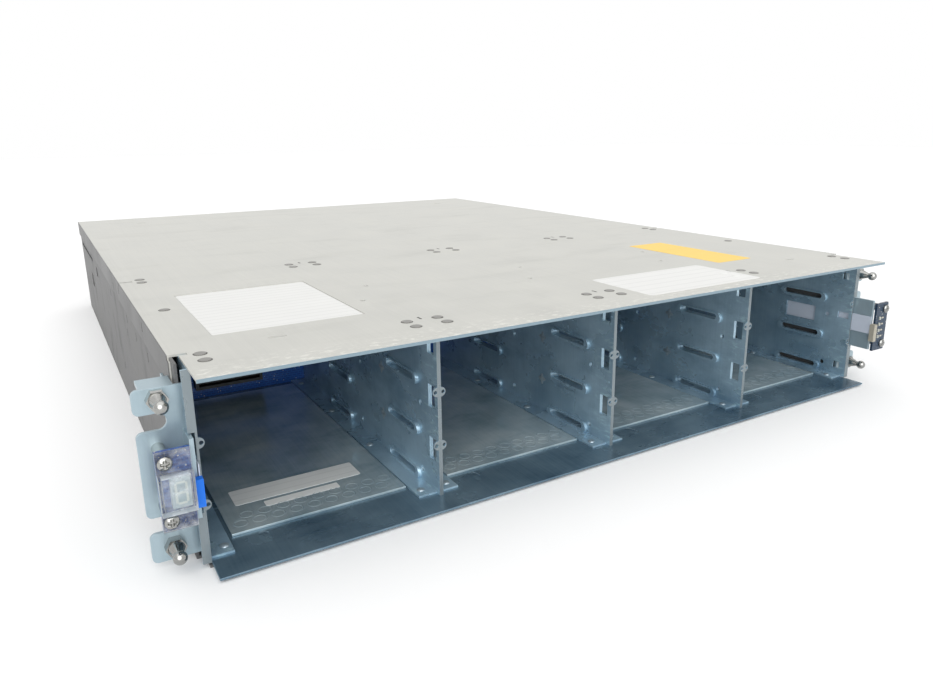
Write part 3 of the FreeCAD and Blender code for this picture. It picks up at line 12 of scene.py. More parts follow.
import bmesh
import bpy
import numpy as np
from mathutils import Matrix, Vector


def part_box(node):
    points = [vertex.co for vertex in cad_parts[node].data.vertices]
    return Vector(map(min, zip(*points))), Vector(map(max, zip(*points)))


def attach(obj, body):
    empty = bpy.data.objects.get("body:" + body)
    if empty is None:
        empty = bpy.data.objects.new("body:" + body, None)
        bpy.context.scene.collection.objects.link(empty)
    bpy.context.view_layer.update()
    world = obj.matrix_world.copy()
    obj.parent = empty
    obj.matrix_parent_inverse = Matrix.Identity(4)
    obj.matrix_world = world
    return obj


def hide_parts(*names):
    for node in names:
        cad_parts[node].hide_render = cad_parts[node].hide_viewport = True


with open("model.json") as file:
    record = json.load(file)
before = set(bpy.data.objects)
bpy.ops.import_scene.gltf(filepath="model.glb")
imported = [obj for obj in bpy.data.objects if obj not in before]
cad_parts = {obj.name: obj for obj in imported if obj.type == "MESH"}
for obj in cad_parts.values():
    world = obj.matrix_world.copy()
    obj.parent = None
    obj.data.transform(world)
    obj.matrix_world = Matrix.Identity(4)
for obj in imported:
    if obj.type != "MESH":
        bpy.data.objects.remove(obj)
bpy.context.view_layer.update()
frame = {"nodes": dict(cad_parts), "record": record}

# %% [markdown]
# Sizes are read in millimetres, because that is how sheet metal is drawn, and turned to metres at the
# last moment. The levels that small pieces sit on are read from the nodes that carry them, so a
# rivet stays on its foot when the foot moves.

# %% Levels that the small pieces sit on
MM = 0.001


def levels(node):
    """The lowest and highest corner of a node, in millimetres, as two arrays."""
    low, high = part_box(node)
    return np.array(low) / MM, np.array(high) / MM


FLOOR_TOP = levels("bay_floor")[1][2]
CAGE_SHEET = 1.0
FOOT_TOP = FLOOR_TOP + CAGE_SHEET
BUTTON_RISE = 0.3
COVER_TOP = levels("top_cover")[1][2] - BUTTON_RISE
HOOD_FRONT = levels("top_cover")[0][1]
COVER_HALF = levels("top_cover")[1][0]
CAGE_FRONT = levels("divider_2_left_sheet")[0][1]
LINER_TOP = levels("bay_liner_plates")[1][2]
PANEL_GAP = 1.3
REAR_FACE = levels("controller_lower_board")[1][1] + PANEL_GAP
BAY_PITCH = levels("divider_2_left_sheet")[1][0] - levels("divider_1_left_sheet")[1][0]
DIVIDERS = BAY_PITCH * np.array([-1, 0, 1])
BAY_EDGES = BAY_PITCH * np.array([-2, -1, 0, 1])
print("floor", round(FLOOR_TOP, 2), "cage front", round(CAGE_FRONT, 2), "bay pitch", round(BAY_PITCH, 2))

# %% [markdown]
# ## Surfaces from whole arrays
# Every new piece is a grid of points over two parameters. One helper turns a grid into quads, one
# repeats a grid at many places, and one puts the arrays into a mesh. Poles and seams are closed by
# merging the points that fall together, and the faces are then turned outwards.

# %% Grids, copies and meshes
FACING = {
    "up": np.eye(3),
    "front": np.array([[1, 0, 0], [0, 0, -1], [0, 1, 0]]),
    "rear": np.array([[-1, 0, 0], [0, 0, 1], [0, 1, 0]]),
    "left": np.array([[0, 0, -1], [-1, 0, 0], [0, 1, 0]]),
    "right": np.array([[0, 0, 1], [1, 0, 0], [0, 1, 0]]),
}


def quads(rows, columns):
    """Corners of a grid that closes on itself along its rows: (i, j), (i+1, j), (i+1, j+1), (i, j+1)."""
    i, j = np.meshgrid(np.arange(rows), np.arange(columns - 1), indexing="ij")
    after = (i + 1) % rows
    corners = (i * columns + j, after * columns + j, after * columns + j + 1, i * columns + j + 1)
    return np.stack(corners, axis=-1).reshape(-1, 4)


def copies(grid, places, facing="up"):
    """The grid turned to face a way and set down at each place: p = place + turn . point."""
    rows, columns = grid.shape[:2]
    points = grid.reshape(-1, 3) @ FACING[facing].T
    spots = np.atleast_2d(np.asarray(places, float))
    faces = quads(rows, columns)
    steps = np.arange(len(spots)) * rows * columns
    return ((spots[:, None, :] + points[None, :, :]).reshape(-1, 3),
            (faces[None, :, :] + steps[:, None, None]).reshape(-1, 4))


def spots(xs, ys, zs):
    """Every combination of the given x, y and z levels, as rows of places."""
    return np.stack(np.meshgrid(xs, ys, zs, indexing="ij"), axis=-1).reshape(-1, 3)


def piece(name, parts, material, body="chassis", crease=40):
    """One mesh object out of several (points, faces) pairs in millimetres, riding on a body."""
    points = np.concatenate([p for p, f in parts])
    starts = np.cumsum([0] + [len(p) for p, f in parts[:-1]])
    faces = np.concatenate([f + s for (p, f), s in zip(parts, starts)])
    mesh = bpy.data.meshes.new(name)
    mesh.from_pydata((points * MM).tolist(), [], faces.tolist())
    shell = bmesh.new()
    shell.from_mesh(mesh)
    bmesh.ops.remove_doubles(shell, verts=shell.verts, dist=1e-7)
    bmesh.ops.dissolve_degenerate(shell, edges=shell.edges, dist=1e-8)
    bmesh.ops.recalc_face_normals(shell, faces=shell.faces)
    shell.to_mesh(mesh)
    shell.free()
    mesh.shade_smooth()
    mesh.set_sharp_from_angle(angle=math.radians(crease))
    mesh.materials.append(material)
    thing = bpy.data.objects.new(name, mesh)
    bpy.context.scene.collection.objects.link(thing)
    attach(thing, body)
    print(f"{name}: {len(mesh.polygons)} faces")
    return thing


# %% [markdown]
# Four generating shapes cover the small hardware. A turned piece is a profile of radius and height
# carried round an axis. A plate is a rounded rectangle carried up its edge and then in to its middle.
# A ring is a small circle carried round a large one. A pressed mark is a cap with a lobed outline.

# %% Turned pieces, plates, rings and marks


def turned(profile, around=20):
    """Point (u, v) = (r(v) cos u, r(v) sin u, h(v)) for a profile of (radius, height) pairs."""
    radius, height = np.asarray(profile, float).T
    u = np.linspace(0, 2 * np.pi, around, endpoint=False)[:, None]
    return np.stack((radius * np.cos(u), radius * np.sin(u), height + 0 * u), axis=-1)


def dome(radius, height, rings=5):
    """A cap: r = R cos t, h = H sin t as t goes from the rim to the top, with a flat underside."""
    t = np.linspace(0, np.pi / 2, rings)
    return turned([(0, 0)] + list(zip(radius * np.cos(t), height * np.sin(t))))


def rounded_outline(width, height, corner, steps=5):
    """A rounded rectangle: corner centre + corner radius (cos t, sin t), a quarter turn at each corner."""
    t = np.linspace(0, np.pi / 2, steps)[None, :] + np.pi / 2 * np.arange(4)[:, None]
    sign_x, sign_y = np.array([1, -1, -1, 1])[:, None], np.array([1, 1, -1, -1])[:, None]
    x = sign_x * (width / 2 - corner) + corner * np.cos(t)
    y = sign_y * (height / 2 - corner) + corner * np.sin(t)
    return np.stack((x.ravel(), y.ravel()), axis=-1)


def plate(width, height, corner, thickness, bevel=0.0):
    """Point (u, v) = outline(u) shrunk and raised by v: middle, rim, wall, bevelled rim, middle."""
    rows = []
    steps = ((0, 0, 0), (1, 0, 0), (1, 0, thickness - bevel), (1, bevel, thickness), (0, bevel, thickness))
    for share, inset, z in steps:
        rounding = max(corner - inset, corner * 0.3)
        flat = rounded_outline(width - 2 * inset, height - 2 * inset, rounding) * share
        rows.append(np.column_stack((flat, np.full(len(flat), z))))
    return np.stack(rows, axis=1)


def ring(radius, thick, around=24, tube=8):
    """Point (u, v) = ((R + r cos v) cos u, (R + r cos v) sin u, r sin v)."""
    u = np.linspace(0, 2 * np.pi, around, endpoint=False)[:, None]
    v = np.linspace(0, 2 * np.pi, tube + 1)[None, :]
    out = radius + thick * np.cos(v)
    return np.stack((out * np.cos(u), out * np.sin(u), thick * np.sin(v) + 0 * u), axis=-1)


def mark(radius, height, lobes=0, depth=0.0, stretch=1.0, around=32, rings=5):
    """A cap whose rim is R (1 + d cos(n u)), drawn out along y: h = H (1 - s^2) for s from rim to middle."""
    u = np.linspace(0, 2 * np.pi, around, endpoint=False)[:, None]
    s = np.concatenate(([0.0], np.linspace(1, 0, rings)))[None, :]
    h = height * (1 - s ** 2) * np.concatenate(([0.0], np.ones(rings)))[None, :]
    r = radius * s * (1 + depth * np.cos(lobes * u))
    return np.stack((r * np.cos(u), stretch * r * np.sin(u), h + 0 * u), axis=-1)


# %% [markdown]
# ## Finishes
# Zinc-coated steel is never one even grey. The rolling mill leaves fine lines, the zinc leaves soft
# cloudy patches, and handling leaves smears. These effects are one shader node group that every
# metal finish shares, each with its own amounts.

# %% Small helpers for shader trees


def new_group(name, inputs, outputs):
    """An empty shader node group with named sockets; returns the tree and its input and output nodes."""
    tree = bpy.data.node_groups.new(name, "ShaderNodeTree")
    for label, kind in inputs:
        tree.interface.new_socket(label, in_out="INPUT", socket_type=kind)
    for label, kind in outputs:
        tree.interface.new_socket(label, in_out="OUTPUT", socket_type=kind)
    return tree, tree.nodes.new("NodeGroupInput"), tree.nodes.new("NodeGroupOutput")


def maths(tree, operation, first, second=None, clamp=False):
    """A Math node whose inputs are sockets or numbers; returns its output socket."""
    node = tree.nodes.new("ShaderNodeMath")
    node.operation = operation
    node.use_clamp = clamp
    for socket, value in zip(node.inputs, (first, second)):
        if isinstance(value, (int, float)):
            socket.default_value = value
        elif value is not None:
            tree.links.new(value, socket)
    return node.outputs[0]


def noise(tree, vector, scale, detail=3.0, roughness=0.55):
    """A Noise texture on a vector; returns its value socket."""
    node = tree.nodes.new("ShaderNodeTexNoise")
    node.inputs["Scale"].default_value = scale
    node.inputs["Detail"].default_value = detail
    node.inputs["Roughness"].default_value = roughness
    tree.links.new(vector, node.inputs["Vector"])
    return node.outputs["Fac"]


def stretched(tree, vector, scale):
    """The vector with each axis scaled, so that a pattern is drawn out along one of them."""
    node = tree.nodes.new("ShaderNodeVectorMath")
    node.operation = "MULTIPLY"
    tree.links.new(vector, node.inputs[0])
    node.inputs[1].default_value = scale
    return node.outputs[0]


def spread(tree, value, low, high, to_low=0.0, to_high=1.0):
    """A value carried from the range low..high to another range and held there."""
    node = tree.nodes.new("ShaderNodeMapRange")
    for label, number in (("From Min", low), ("From Max", high), ("To Min", to_low), ("To Max", to_high)):
        node.inputs[label].default_value = number
    tree.links.new(value, node.inputs["Value"])
    return node.outputs["Result"]


def mix_colour(tree, factor, first, second):
    """A colour between two, each a socket or three numbers, by a factor socket."""
    node = tree.nodes.new("ShaderNodeMix")
    node.data_type = "RGBA"
    for label, colour in (("A", first), ("B", second)):
        if isinstance(colour, bpy.types.NodeSocket):
            tree.links.new(colour, node.inputs[label])
        else:
            node.inputs[label].default_value = (*colour, 1)
    tree.links.new(factor, node.inputs["Factor"])
    return node.outputs["Result"]


# %% [markdown]
# The marks group gives a tone, a height for a shallow bump, and a gloss value. Each is a sum of
# noises stretched along the sheet: fine for the rolling lines, broad for the clouds and smears.

# %% A shared group for sheet-metal marks
marks, marks_in, marks_out = new_group(
    "sheet_metal_marks",
    [("Vector", "NodeSocketVector"), ("Cloud", "NodeSocketFloat"), ("Lines", "NodeSocketFloat"),
     ("Smears", "NodeSocketFloat")],
    [("Tone", "NodeSocketFloat"), ("Height", "NodeSocketFloat"), ("Gloss", "NodeSocketFloat")])
where = marks_in.outputs["Vector"]
cloud = spread(marks, noise(marks, where, 24, 4), 0.3, 0.7)
lines = noise(marks, stretched(marks, where, (900, 14, 900)), 1.0, 2)
smear = spread(marks, noise(marks, stretched(marks, where, (14, 40, 22)), 1.0, 5, 0.65), 0.52, 0.74)
scratch = spread(marks, noise(marks, stretched(marks, where, (60, 1100, 400)), 1.0, 1), 0.70, 0.76)
tone = maths(marks, "MULTIPLY", maths(marks, "SUBTRACT", cloud, 0.5), marks_in.outputs["Cloud"])
line_tone = maths(marks, "MULTIPLY", maths(marks, "SUBTRACT", lines, 0.5), marks_in.outputs["Lines"])
tone = maths(marks, "ADD", tone, line_tone)
tone = maths(marks, "SUBTRACT", tone, maths(marks, "MULTIPLY", smear, marks_in.outputs["Smears"]))
height = maths(marks, "SUBTRACT", lines, maths(marks, "MULTIPLY", scratch, 0.6))
gloss = maths(marks, "ADD", maths(marks, "MULTIPLY", smear, 0.5), maths(marks, "MULTIPLY", cloud, 0.5))
tone = maths(marks, "ADD", tone, 0.5, clamp=True)
for label, value in (("Tone", tone), ("Height", height), ("Gloss", gloss)):
    marks.links.new(value, marks_out.inputs[label])
print("group", marks.name, "has", len(marks.nodes), "nodes")

# %% [markdown]
# A metal finish joins that group to one Principled shader. Tone moves between a dark and a light colour,
# gloss moves the roughness, and the lines lift a very shallow bump. Where a sheet has been cut at the front
# its edge has a tone of its own, and behind it a painted highlight lightens the sheet in patches.

# %% Metal finishes
HIGHLIGHT_DEPTH = 22
HAIR = 0.05


def new_material(name):
    """A node material with only its shader and output; returns the material, its tree and the shader."""
    material = bpy.data.materials.new(name)
    material.use_nodes = True
    return material, material.node_tree, material.node_tree.nodes["Principled BSDF"]


def object_place(tree, turn=(0, 0, 0)):
    """Object coordinates through a Mapping node."""
    place = tree.nodes.new("ShaderNodeTexCoord")
    mapping = tree.nodes.new("ShaderNodeMapping")
    mapping.inputs["Rotation"].default_value = turn
    tree.links.new(place.outputs["Object"], mapping.inputs["Vector"])
    return mapping.outputs["Vector"]


def object_axis(tree, axis):
    """One of the object coordinates, as a value socket."""
    place = tree.nodes.new("ShaderNodeTexCoord")
    split = tree.nodes.new("ShaderNodeSeparateXYZ")
    tree.links.new(place.outputs["Object"], split.inputs["Vector"])
    return split.outputs[axis]


def bump(tree, shader, height, strength, distance):
    """A Bump node between a height socket and the shader's normal."""
    node = tree.nodes.new("ShaderNodeBump")
    node.inputs["Strength"].default_value = strength
    node.inputs["Distance"].default_value = distance
    tree.links.new(height, node.inputs["Height"])
    tree.links.new(node.outputs["Normal"], shader.inputs["Normal"])


def sheet_metal(name, dark, light, rough, metallic=1.0, amounts=(0.6, 0.5, 0.25), turn=(0, 0, 0),
                cut_edge_and_highlight=None, sides=None, proud=None, specular=0.5):
    """A zinc-coated sheet: two tones, a roughness range and how strong each mark is.

    The cut edge is the place of its cut front edge and the tone there; behind it a painted highlight lightens
    the sheet in patches over a band that fades towards the back. Sides are a distance from the middle and the
    tone beyond it: a painted shade that makes the turned-down sides dark and dull. Proud is a level and the
    tone above it, a painted shade on the raised buttons, then a stretch of x, the y where it ends and the
    tone in front of that, for those that a label covers.
    """
    material, tree, shader = new_material(name)
    group = tree.nodes.new("ShaderNodeGroup")
    group.node_tree = marks
    place = object_place(tree, turn)
    tree.links.new(place, group.inputs["Vector"])
    for label, value in zip(("Cloud", "Lines", "Smears"), amounts):
        group.inputs[label].default_value = value
    colour = mix_colour(tree, group.outputs["Tone"], dark, light)
    if cut_edge_and_highlight is not None:
        edge, bare = cut_edge_and_highlight
        depth = object_axis(tree, "Y")
        # Painted highlight: behind the cut edge the sheet is painted lighter, in patches, over a band that
        # fades towards the back.
        front_highlight = spread(tree, depth, (edge + HIGHLIGHT_DEPTH) * MM, edge * MM, 0, 0.8)
        patches = spread(tree, noise(tree, stretched(tree, place, (1, 2, 0.6)), 190, 6, 0.72), 0.52, 0.7)
        bright = [min(1, c * 1.5) for c in light]
        colour = mix_colour(tree, maths(tree, "MULTIPLY", front_highlight, patches), colour, bright)
        cut = maths(tree, "LESS_THAN", depth, (edge + HAIR) * MM)
        colour = mix_colour(tree, cut, colour, bare)
    shader.inputs["Metallic"].default_value = metallic
    shader.inputs["Specular IOR Level"].default_value = specular
    if sides is not None:
        # Painted shade: beyond this distance from the middle the turned-down sides are painted a dark, dull
        # tone, standing in for the dark room that they reflect.
        beyond = maths(tree, "GREATER_THAN", maths(tree, "ABSOLUTE", object_axis(tree, "X")), sides[0] * MM)
        colour = mix_colour(tree, beyond, colour, sides[1])
        tree.links.new(spread(tree, beyond, 0, 1, metallic, 0.05), shader.inputs["Metallic"])
        tree.links.new(spread(tree, beyond, 0, 1, specular, 0.05), shader.inputs["Specular IOR Level"])
    if proud is not None:
        level, button_shade, (start, end), back, paper = proud
        off_middle = maths(tree, "SUBTRACT", object_axis(tree, "X"), (start + end) / 2 * MM)
        across = maths(tree, "LESS_THAN", maths(tree, "ABSOLUTE", off_middle), (end - start) / 2 * MM)
        in_front = maths(tree, "LESS_THAN", object_axis(tree, "Y"), back * MM)
        covered = maths(tree, "MULTIPLY", across, in_front)
        # Painted shade: above this level the raised buttons are painted darker, and those under the notice
        # take the paper's colour.
        raised = maths(tree, "GREATER_THAN", object_axis(tree, "Z"), level * MM)
        colour = mix_colour(tree, raised, colour, mix_colour(tree, covered, button_shade, paper))
    tree.links.new(colour, shader.inputs["Base Color"])
    tree.links.new(spread(tree, group.outputs["Gloss"], 0, 1, *rough), shader.inputs["Roughness"])
    bump(tree, shader, group.outputs["Height"], 0.12, 0.00015)
    return material


SIDEWAYS = (0, 0, math.pi / 2)
UPRIGHT = (math.pi / 2, 0, 0)
NOTICE_X = (18.4, 108.5)
NOTICE_Y = CAGE_FRONT + np.array([-7.0, 44.0])
# The side tone and the button tone here are painted shade; the cut-edge tone is the bare steel at the cut.
SIDE_SHADE, CUT_EDGE, BUTTON_SHADE = (0.155, 0.155, 0.155), (0.22, 0.30, 0.35), (0.24, 0.235, 0.22)
NOTICE_PAPER = (0.78, 0.78, 0.76)
EDGE_BEND = 0.4
cover_zinc = sheet_metal("cover_zinc", (0.46, 0.46, 0.43), (0.64, 0.635, 0.59), (0.34, 0.48), 0.12,
                         (0.3, 0.3, 0.15), cut_edge_and_highlight=(HOOD_FRONT, CUT_EDGE),
                         sides=(COVER_HALF - EDGE_BEND, SIDE_SHADE),
                         proud=(COVER_TOP + HAIR, BUTTON_SHADE, NOTICE_X, NOTICE_Y[1], NOTICE_PAPER),
                         specular=0.2)
# Painted shade: the outer walls are painted far darker and duller than the cage, standing in for the dark
# room that they reflect.
shaded_wall_zinc = sheet_metal("shaded_wall_zinc", (0.085, 0.085, 0.09), (0.19, 0.19, 0.185), (0.4, 0.55), 0.1,
                        (0.45, 0.3, 0.4), specular=0.1)
cage_zinc = sheet_metal("cage_zinc", (0.21, 0.33, 0.43), (0.48, 0.65, 0.76), (0.24, 0.40), 0.45,
                        (0.8, 0.3, 0.5), UPRIGHT, (CAGE_FRONT, (0.22, 0.26, 0.28)))
floor_zinc = sheet_metal("floor_zinc", (0.06, 0.115, 0.17), (0.22, 0.32, 0.39), (0.22, 0.36), 0.5,
                         (0.7, 0.4, 0.4))
liner_zinc = sheet_metal("liner_zinc", (0.28, 0.40, 0.46), (0.76, 0.86, 0.88), (0.12, 0.28), 0.55,
                         (0.8, 0.3, 0.5))
ear_zinc = sheet_metal("ear_zinc", (0.29, 0.38, 0.43), (0.46, 0.57, 0.62), (0.28, 0.42), 0.5,
                       (0.5, 0.3, 0.25), UPRIGHT)
module_zinc = sheet_metal("module_zinc", (0.30, 0.32, 0.33), (0.50, 0.51, 0.51), (0.32, 0.48), 0.25,
                          (0.35, 0.4, 0.3), SIDEWAYS, specular=0.3)
nickel = sheet_metal("polished_nickel", (0.22, 0.225, 0.22), (0.48, 0.48, 0.46), (0.12, 0.26), 1.0,
                     (0.5, 0.2, 0.2))
rivet_zinc = sheet_metal("rivet_zinc", (0.26, 0.33, 0.38), (0.50, 0.58, 0.62), (0.26, 0.4), 0.6,
                         (0.6, 0.3, 0.3))
print("metal finishes:", [m.name for m in bpy.data.materials])

# %% [markdown]
# Plastics, boards and paper are not metal. Moulded plastic has a fine spark-eroded texture, a circuit
# board has copper tracks that show as paler lines under its lacquer, and a blank label has ruled lines.

# %% Plastics, boards and labels


def moulded(name, colour, rough=0.45, grain=0.15):
    """Moulded plastic: a small change of tone and a fine texture."""
    material, tree, shader = new_material(name)
    place = object_place(tree)
    dark = [c * 0.85 for c in colour]
    light = [min(1, c * 1.1 + 0.004) for c in colour]
    tree.links.new(mix_colour(tree, noise(tree, place, 60, 3), dark, light), shader.inputs["Base Color"])
    roughness = spread(tree, noise(tree, place, 140, 2), 0.1, 0.9, rough - 0.1, rough + 0.1)
    tree.links.new(roughness, shader.inputs["Roughness"])
    bump(tree, shader, noise(tree, place, 2600, 1), grain, 0.0001)
    return material


def circuit_board(name, mask, copper):
    """A lacquered board: straight copper tracks as a Brick pattern, plated dots as a Voronoi pattern."""
    material, tree, shader = new_material(name)
    place = object_place(tree, UPRIGHT)
    tracks = tree.nodes.new("ShaderNodeTexBrick")
    tracks.inputs["Scale"].default_value = 160
    tracks.inputs["Mortar Size"].default_value = 0.05
    dots = tree.nodes.new("ShaderNodeTexVoronoi")
    dots.inputs["Scale"].default_value = 420
    for pattern in (tracks, dots):
        tree.links.new(place, pattern.inputs["Vector"])
    plated = maths(tree, "LESS_THAN", dots.outputs["Distance"], 0.13)
    lacquer = mix_colour(tree, maths(tree, "MULTIPLY", tracks.outputs["Fac"], 0.55), mask, copper)
    tree.links.new(mix_colour(tree, plated, lacquer, (0.62, 0.60, 0.52)), shader.inputs["Base Color"])
    shader.inputs["Roughness"].default_value = 0.32
    bump(tree, shader, tracks.outputs["Fac"], 0.1, 0.0001)
    return material


def label_paper(name, colour, line_pitch, line_share):
    """A blank label: plain stock with faint ruled lines across it, and a little yellowing."""
    material, tree, shader = new_material(name)
    place = object_place(tree)
    rows = tree.nodes.new("ShaderNodeTexWave")
    rows.bands_direction = "Y"
    rows.inputs["Scale"].default_value = 0.314 / line_pitch
    tree.links.new(place, rows.inputs["Vector"])
    line = maths(tree, "GREATER_THAN", rows.outputs["Fac"], 1 - line_share)
    aged = mix_colour(tree, noise(tree, place, 40, 3), [c * 0.93 for c in colour], colour)
    ruled = mix_colour(tree, maths(tree, "MULTIPLY", line, 0.12), aged, [c * 0.3 for c in colour])
    tree.links.new(ruled, shader.inputs["Base Color"])
    shader.inputs["Roughness"].default_value = 0.42
    return material


def clear_plastic(name):
    """Clear moulded acrylic: straight-through light mixed with gloss by the Fresnel law and a faint haze."""
    material, tree, shader = new_material(name)
    shader.inputs["Base Color"].default_value = (0.86, 0.90, 0.93, 1)
    shader.inputs["Roughness"].default_value = 0.06
    through = tree.nodes.new("ShaderNodeBsdfTransparent")
    through.inputs["Color"].default_value = (0.95, 0.97, 0.98, 1)
    gloss = tree.nodes.new("ShaderNodeFresnel")
    gloss.inputs["IOR"].default_value = 1.49
    haze = spread(tree, noise(tree, object_place(tree), 260, 3), 0.4, 0.75, 0.04, 0.30)
    blend = tree.nodes.new("ShaderNodeMixShader")
    tree.links.new(maths(tree, "ADD", gloss.outputs["Fac"], haze, clamp=True), blend.inputs["Fac"])
    tree.links.new(through.outputs["BSDF"], blend.inputs[1])
    tree.links.new(shader.outputs["BSDF"], blend.inputs[2])
    tree.links.new(blend.outputs["Shader"], tree.nodes["Material Output"].inputs["Surface"])
    return material


black_plastic = moulded("black_moulding", (0.02, 0.02, 0.022))
lever_plastic = moulded("lever_moulding", (0.07, 0.075, 0.085), 0.5)
ribbon_film = moulded("ribbon_film", (0.56, 0.61, 0.70), 0.35, 0.02)
tab_blue = moulded("tab_blue", (0.0, 0.15, 0.70), 0.6, 0.02)
digit_face = moulded("digit_face", (0.42, 0.49, 0.50), 0.5, 0.05)
segment_cream = moulded("segment_cream", (0.78, 0.78, 0.68), 0.45, 0.02)
lamp_grey = moulded("lamp_grey", (0.40, 0.42, 0.38), 0.3, 0.02)
chip_black = moulded("chip_black", (0.012, 0.012, 0.013), 0.4, 0.05)
resistor_cream = moulded("resistor_cream", (0.46, 0.44, 0.37), 0.4, 0.05)
# A painted shade for the gaps and slits in the cover, not a real part.
painted_gap_shade = moulded("painted_gap_shade", (0.05, 0.05, 0.045), 0.6, 0.05)
blue_board = circuit_board("blue_board", (0.008, 0.055, 0.27), (0.02, 0.14, 0.48))
dark_board = circuit_board("dark_board", (0.008, 0.02, 0.045), (0.02, 0.06, 0.11))
green_board = circuit_board("green_board", (0.005, 0.05, 0.02), (0.02, 0.16, 0.07))
white_label = label_paper("white_label", (0.77, 0.77, 0.75), 6.5 * MM, 0.06)
plain_label = label_paper("plain_label", NOTICE_PAPER, 9.0 * MM, 0.05)
yellow_label = label_paper("yellow_label", (0.93, 0.62, 0.10), 60 * MM, 0.001)
clear_lens = clear_plastic("clear_lens")
print("finishes in all:", len(bpy.data.materials))

# %% [markdown]
# The stiff tabs at the ribbon ends share one node, and only the left one is blue. The colour of the
# right one comes from its place: a single comparison on the object's x coordinate.

# %% Two colours on one node
tab_tree = tab_blue.node_tree
tab_shader = tab_tree.nodes["Principled BSDF"]
tab_colour = tab_shader.inputs["Base Color"].links[0].from_socket
right_hand = maths(tab_tree, "GREATER_THAN", object_axis(tab_tree, "X"), 0.0)
two_colours = mix_colour(tab_tree, right_hand, tab_colour, (0.36, 0.34, 0.28))
tab_tree.links.new(two_colours, tab_shader.inputs["Base Color"])
print("tab finish has", len(tab_tree.nodes), "nodes")

# %% [markdown]
# ## Dressing the imported nodes
# Each node takes its finish by its material slot in the record, apart from three that are duller or darker:
# the outer walls, whose dark tone is painted shade standing in for the dark room that they reflect, the bay
# floor, and the indicator board, whose own finish is dark.

# %% Finishes on the nodes
FINISH_BY_SLOT = {
    "galvanised_steel": cage_zinc, "cover_steel": cover_zinc, "liner_steel": liner_zinc, "ear_zinc": ear_zinc,
    "nickel": nickel, "module_steel": module_zinc, "blue_board": blue_board, "green_board": green_board,
    "digit_face": digit_face, "clear_lens": clear_lens, "ribbon_film": ribbon_film, "ribbon_tab": tab_blue,
    "black_plastic": black_plastic, "lever_plastic": lever_plastic,
}
FINISH_BY_NODE = {"base_pan": shaded_wall_zinc, "bay_floor": floor_zinc, "indicator_board": dark_board}
slot_of = {part["node"]: part["material_slot"] for part in frame["record"]["subparts"]}
for name, thing in frame["nodes"].items():
    thing.data.materials.clear()
    thing.data.materials.append(FINISH_BY_NODE.get(name, FINISH_BY_SLOT[slot_of[name]]))
print("nodes dressed:", len(frame["nodes"]))

# %% [markdown]
# Sheet edges that have been through a press are never razor sharp, so a Weld, a planar Decimate and a
# small Bevel catch the light along them. These are modifiers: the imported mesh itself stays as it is.

# %% Soft edges on the nodes


def soften(name, width, segments=2):
    """Rounds a node's edges by a width in millimetres."""
    thing = frame["nodes"][name]
    weld = thing.modifiers.new("weld", "WELD")
    weld.merge_threshold = 1e-6
    flat = thing.modifiers.new("flat", "DECIMATE")
    flat.decimate_type = "DISSOLVE"
    flat.angle_limit = math.radians(1)
    bevel = thing.modifiers.new("bevel", "BEVEL")
    bevel.width = width * MM
    bevel.segments = segments
    bevel.limit_method = "ANGLE"
    bevel.angle_limit = math.radians(50)
    bevel.use_clamp_overlap = True
    bevel.harden_normals = True


SOFT_EDGES = {"top_cover": 0.35, "bay_floor": 0.35, "left_ear": 0.45, "right_ear": 0.45,
              "bay_liner_plates": 0.2, "display_lens": 0.4, "display_digit": 0.3}
for name, width in SOFT_EDGES.items():
    soften(name, width)
for name in frame["nodes"]:
    if name.startswith(("cage_wall", "divider_")):
        soften(name, 0.22)
    elif name.endswith(("_lever", "_switch", "_inlet", "_connector")):
        soften(name, 0.4)
print("nodes with soft edges:", sum(1 for t in frame["nodes"].values() if t.modifiers))

# %% [markdown]
# ## Pressed and fixed details of the cage
# Each upright sheet stands on a foot that is held down by rivets. Stakes join the two sheets of a
# divider back to back, and shallow oval dimples stiffen the apron in front of the bays.

# %% Rivets, stakes and dimples
RIVET_SETBACKS = CAGE_FRONT + np.array([9.0, 73.0, 135.0, 197.0])
RIVET_REACH = 7.0
rivet_columns = np.concatenate((DIVIDERS - RIVET_REACH, DIVIDERS + RIVET_REACH,
                                BAY_PITCH * 2 * np.array([-1, 1]) + RIVET_REACH * np.array([1, -1])))
rivets = copies(dome(2.1, 0.9), spots(rivet_columns, RIVET_SETBACKS, [FOOT_TOP - 0.05]))
piece("foot_rivets", [rivets], rivet_zinc)

STAKES = np.array([[CAGE_FRONT + 65.5, FLOOR_TOP + 48.7], [CAGE_FRONT + 65.5, FLOOR_TOP + 21.3]])
stake = mark(2.8, 0.5, lobes=4, depth=0.3)
stake_parts = []
for facing, faces in (("left", DIVIDERS - CAGE_SHEET), ("right", DIVIDERS + CAGE_SHEET)):
    places = np.concatenate([np.column_stack((np.full(len(STAKES), x), STAKES)) for x in faces])
    stake_parts.append(copies(stake, places, facing))
piece("divider_stakes", stake_parts, rivet_zinc)

DIMPLE_REACH = 24.6
dimple_places = spots(BAY_EDGES + DIMPLE_REACH, [CAGE_FRONT + 9.0], [FLOOR_TOP - 0.02])
dimples = copies(mark(2.7, 0.55, stretch=2.0), dimple_places)
piece("apron_dimples", [dimples], floor_zinc)

# %% [markdown]
# A row of shallow rings is pressed into the front of each liner plate, in two staggered lines. Only
# the very top of each ring stands out of the plate.

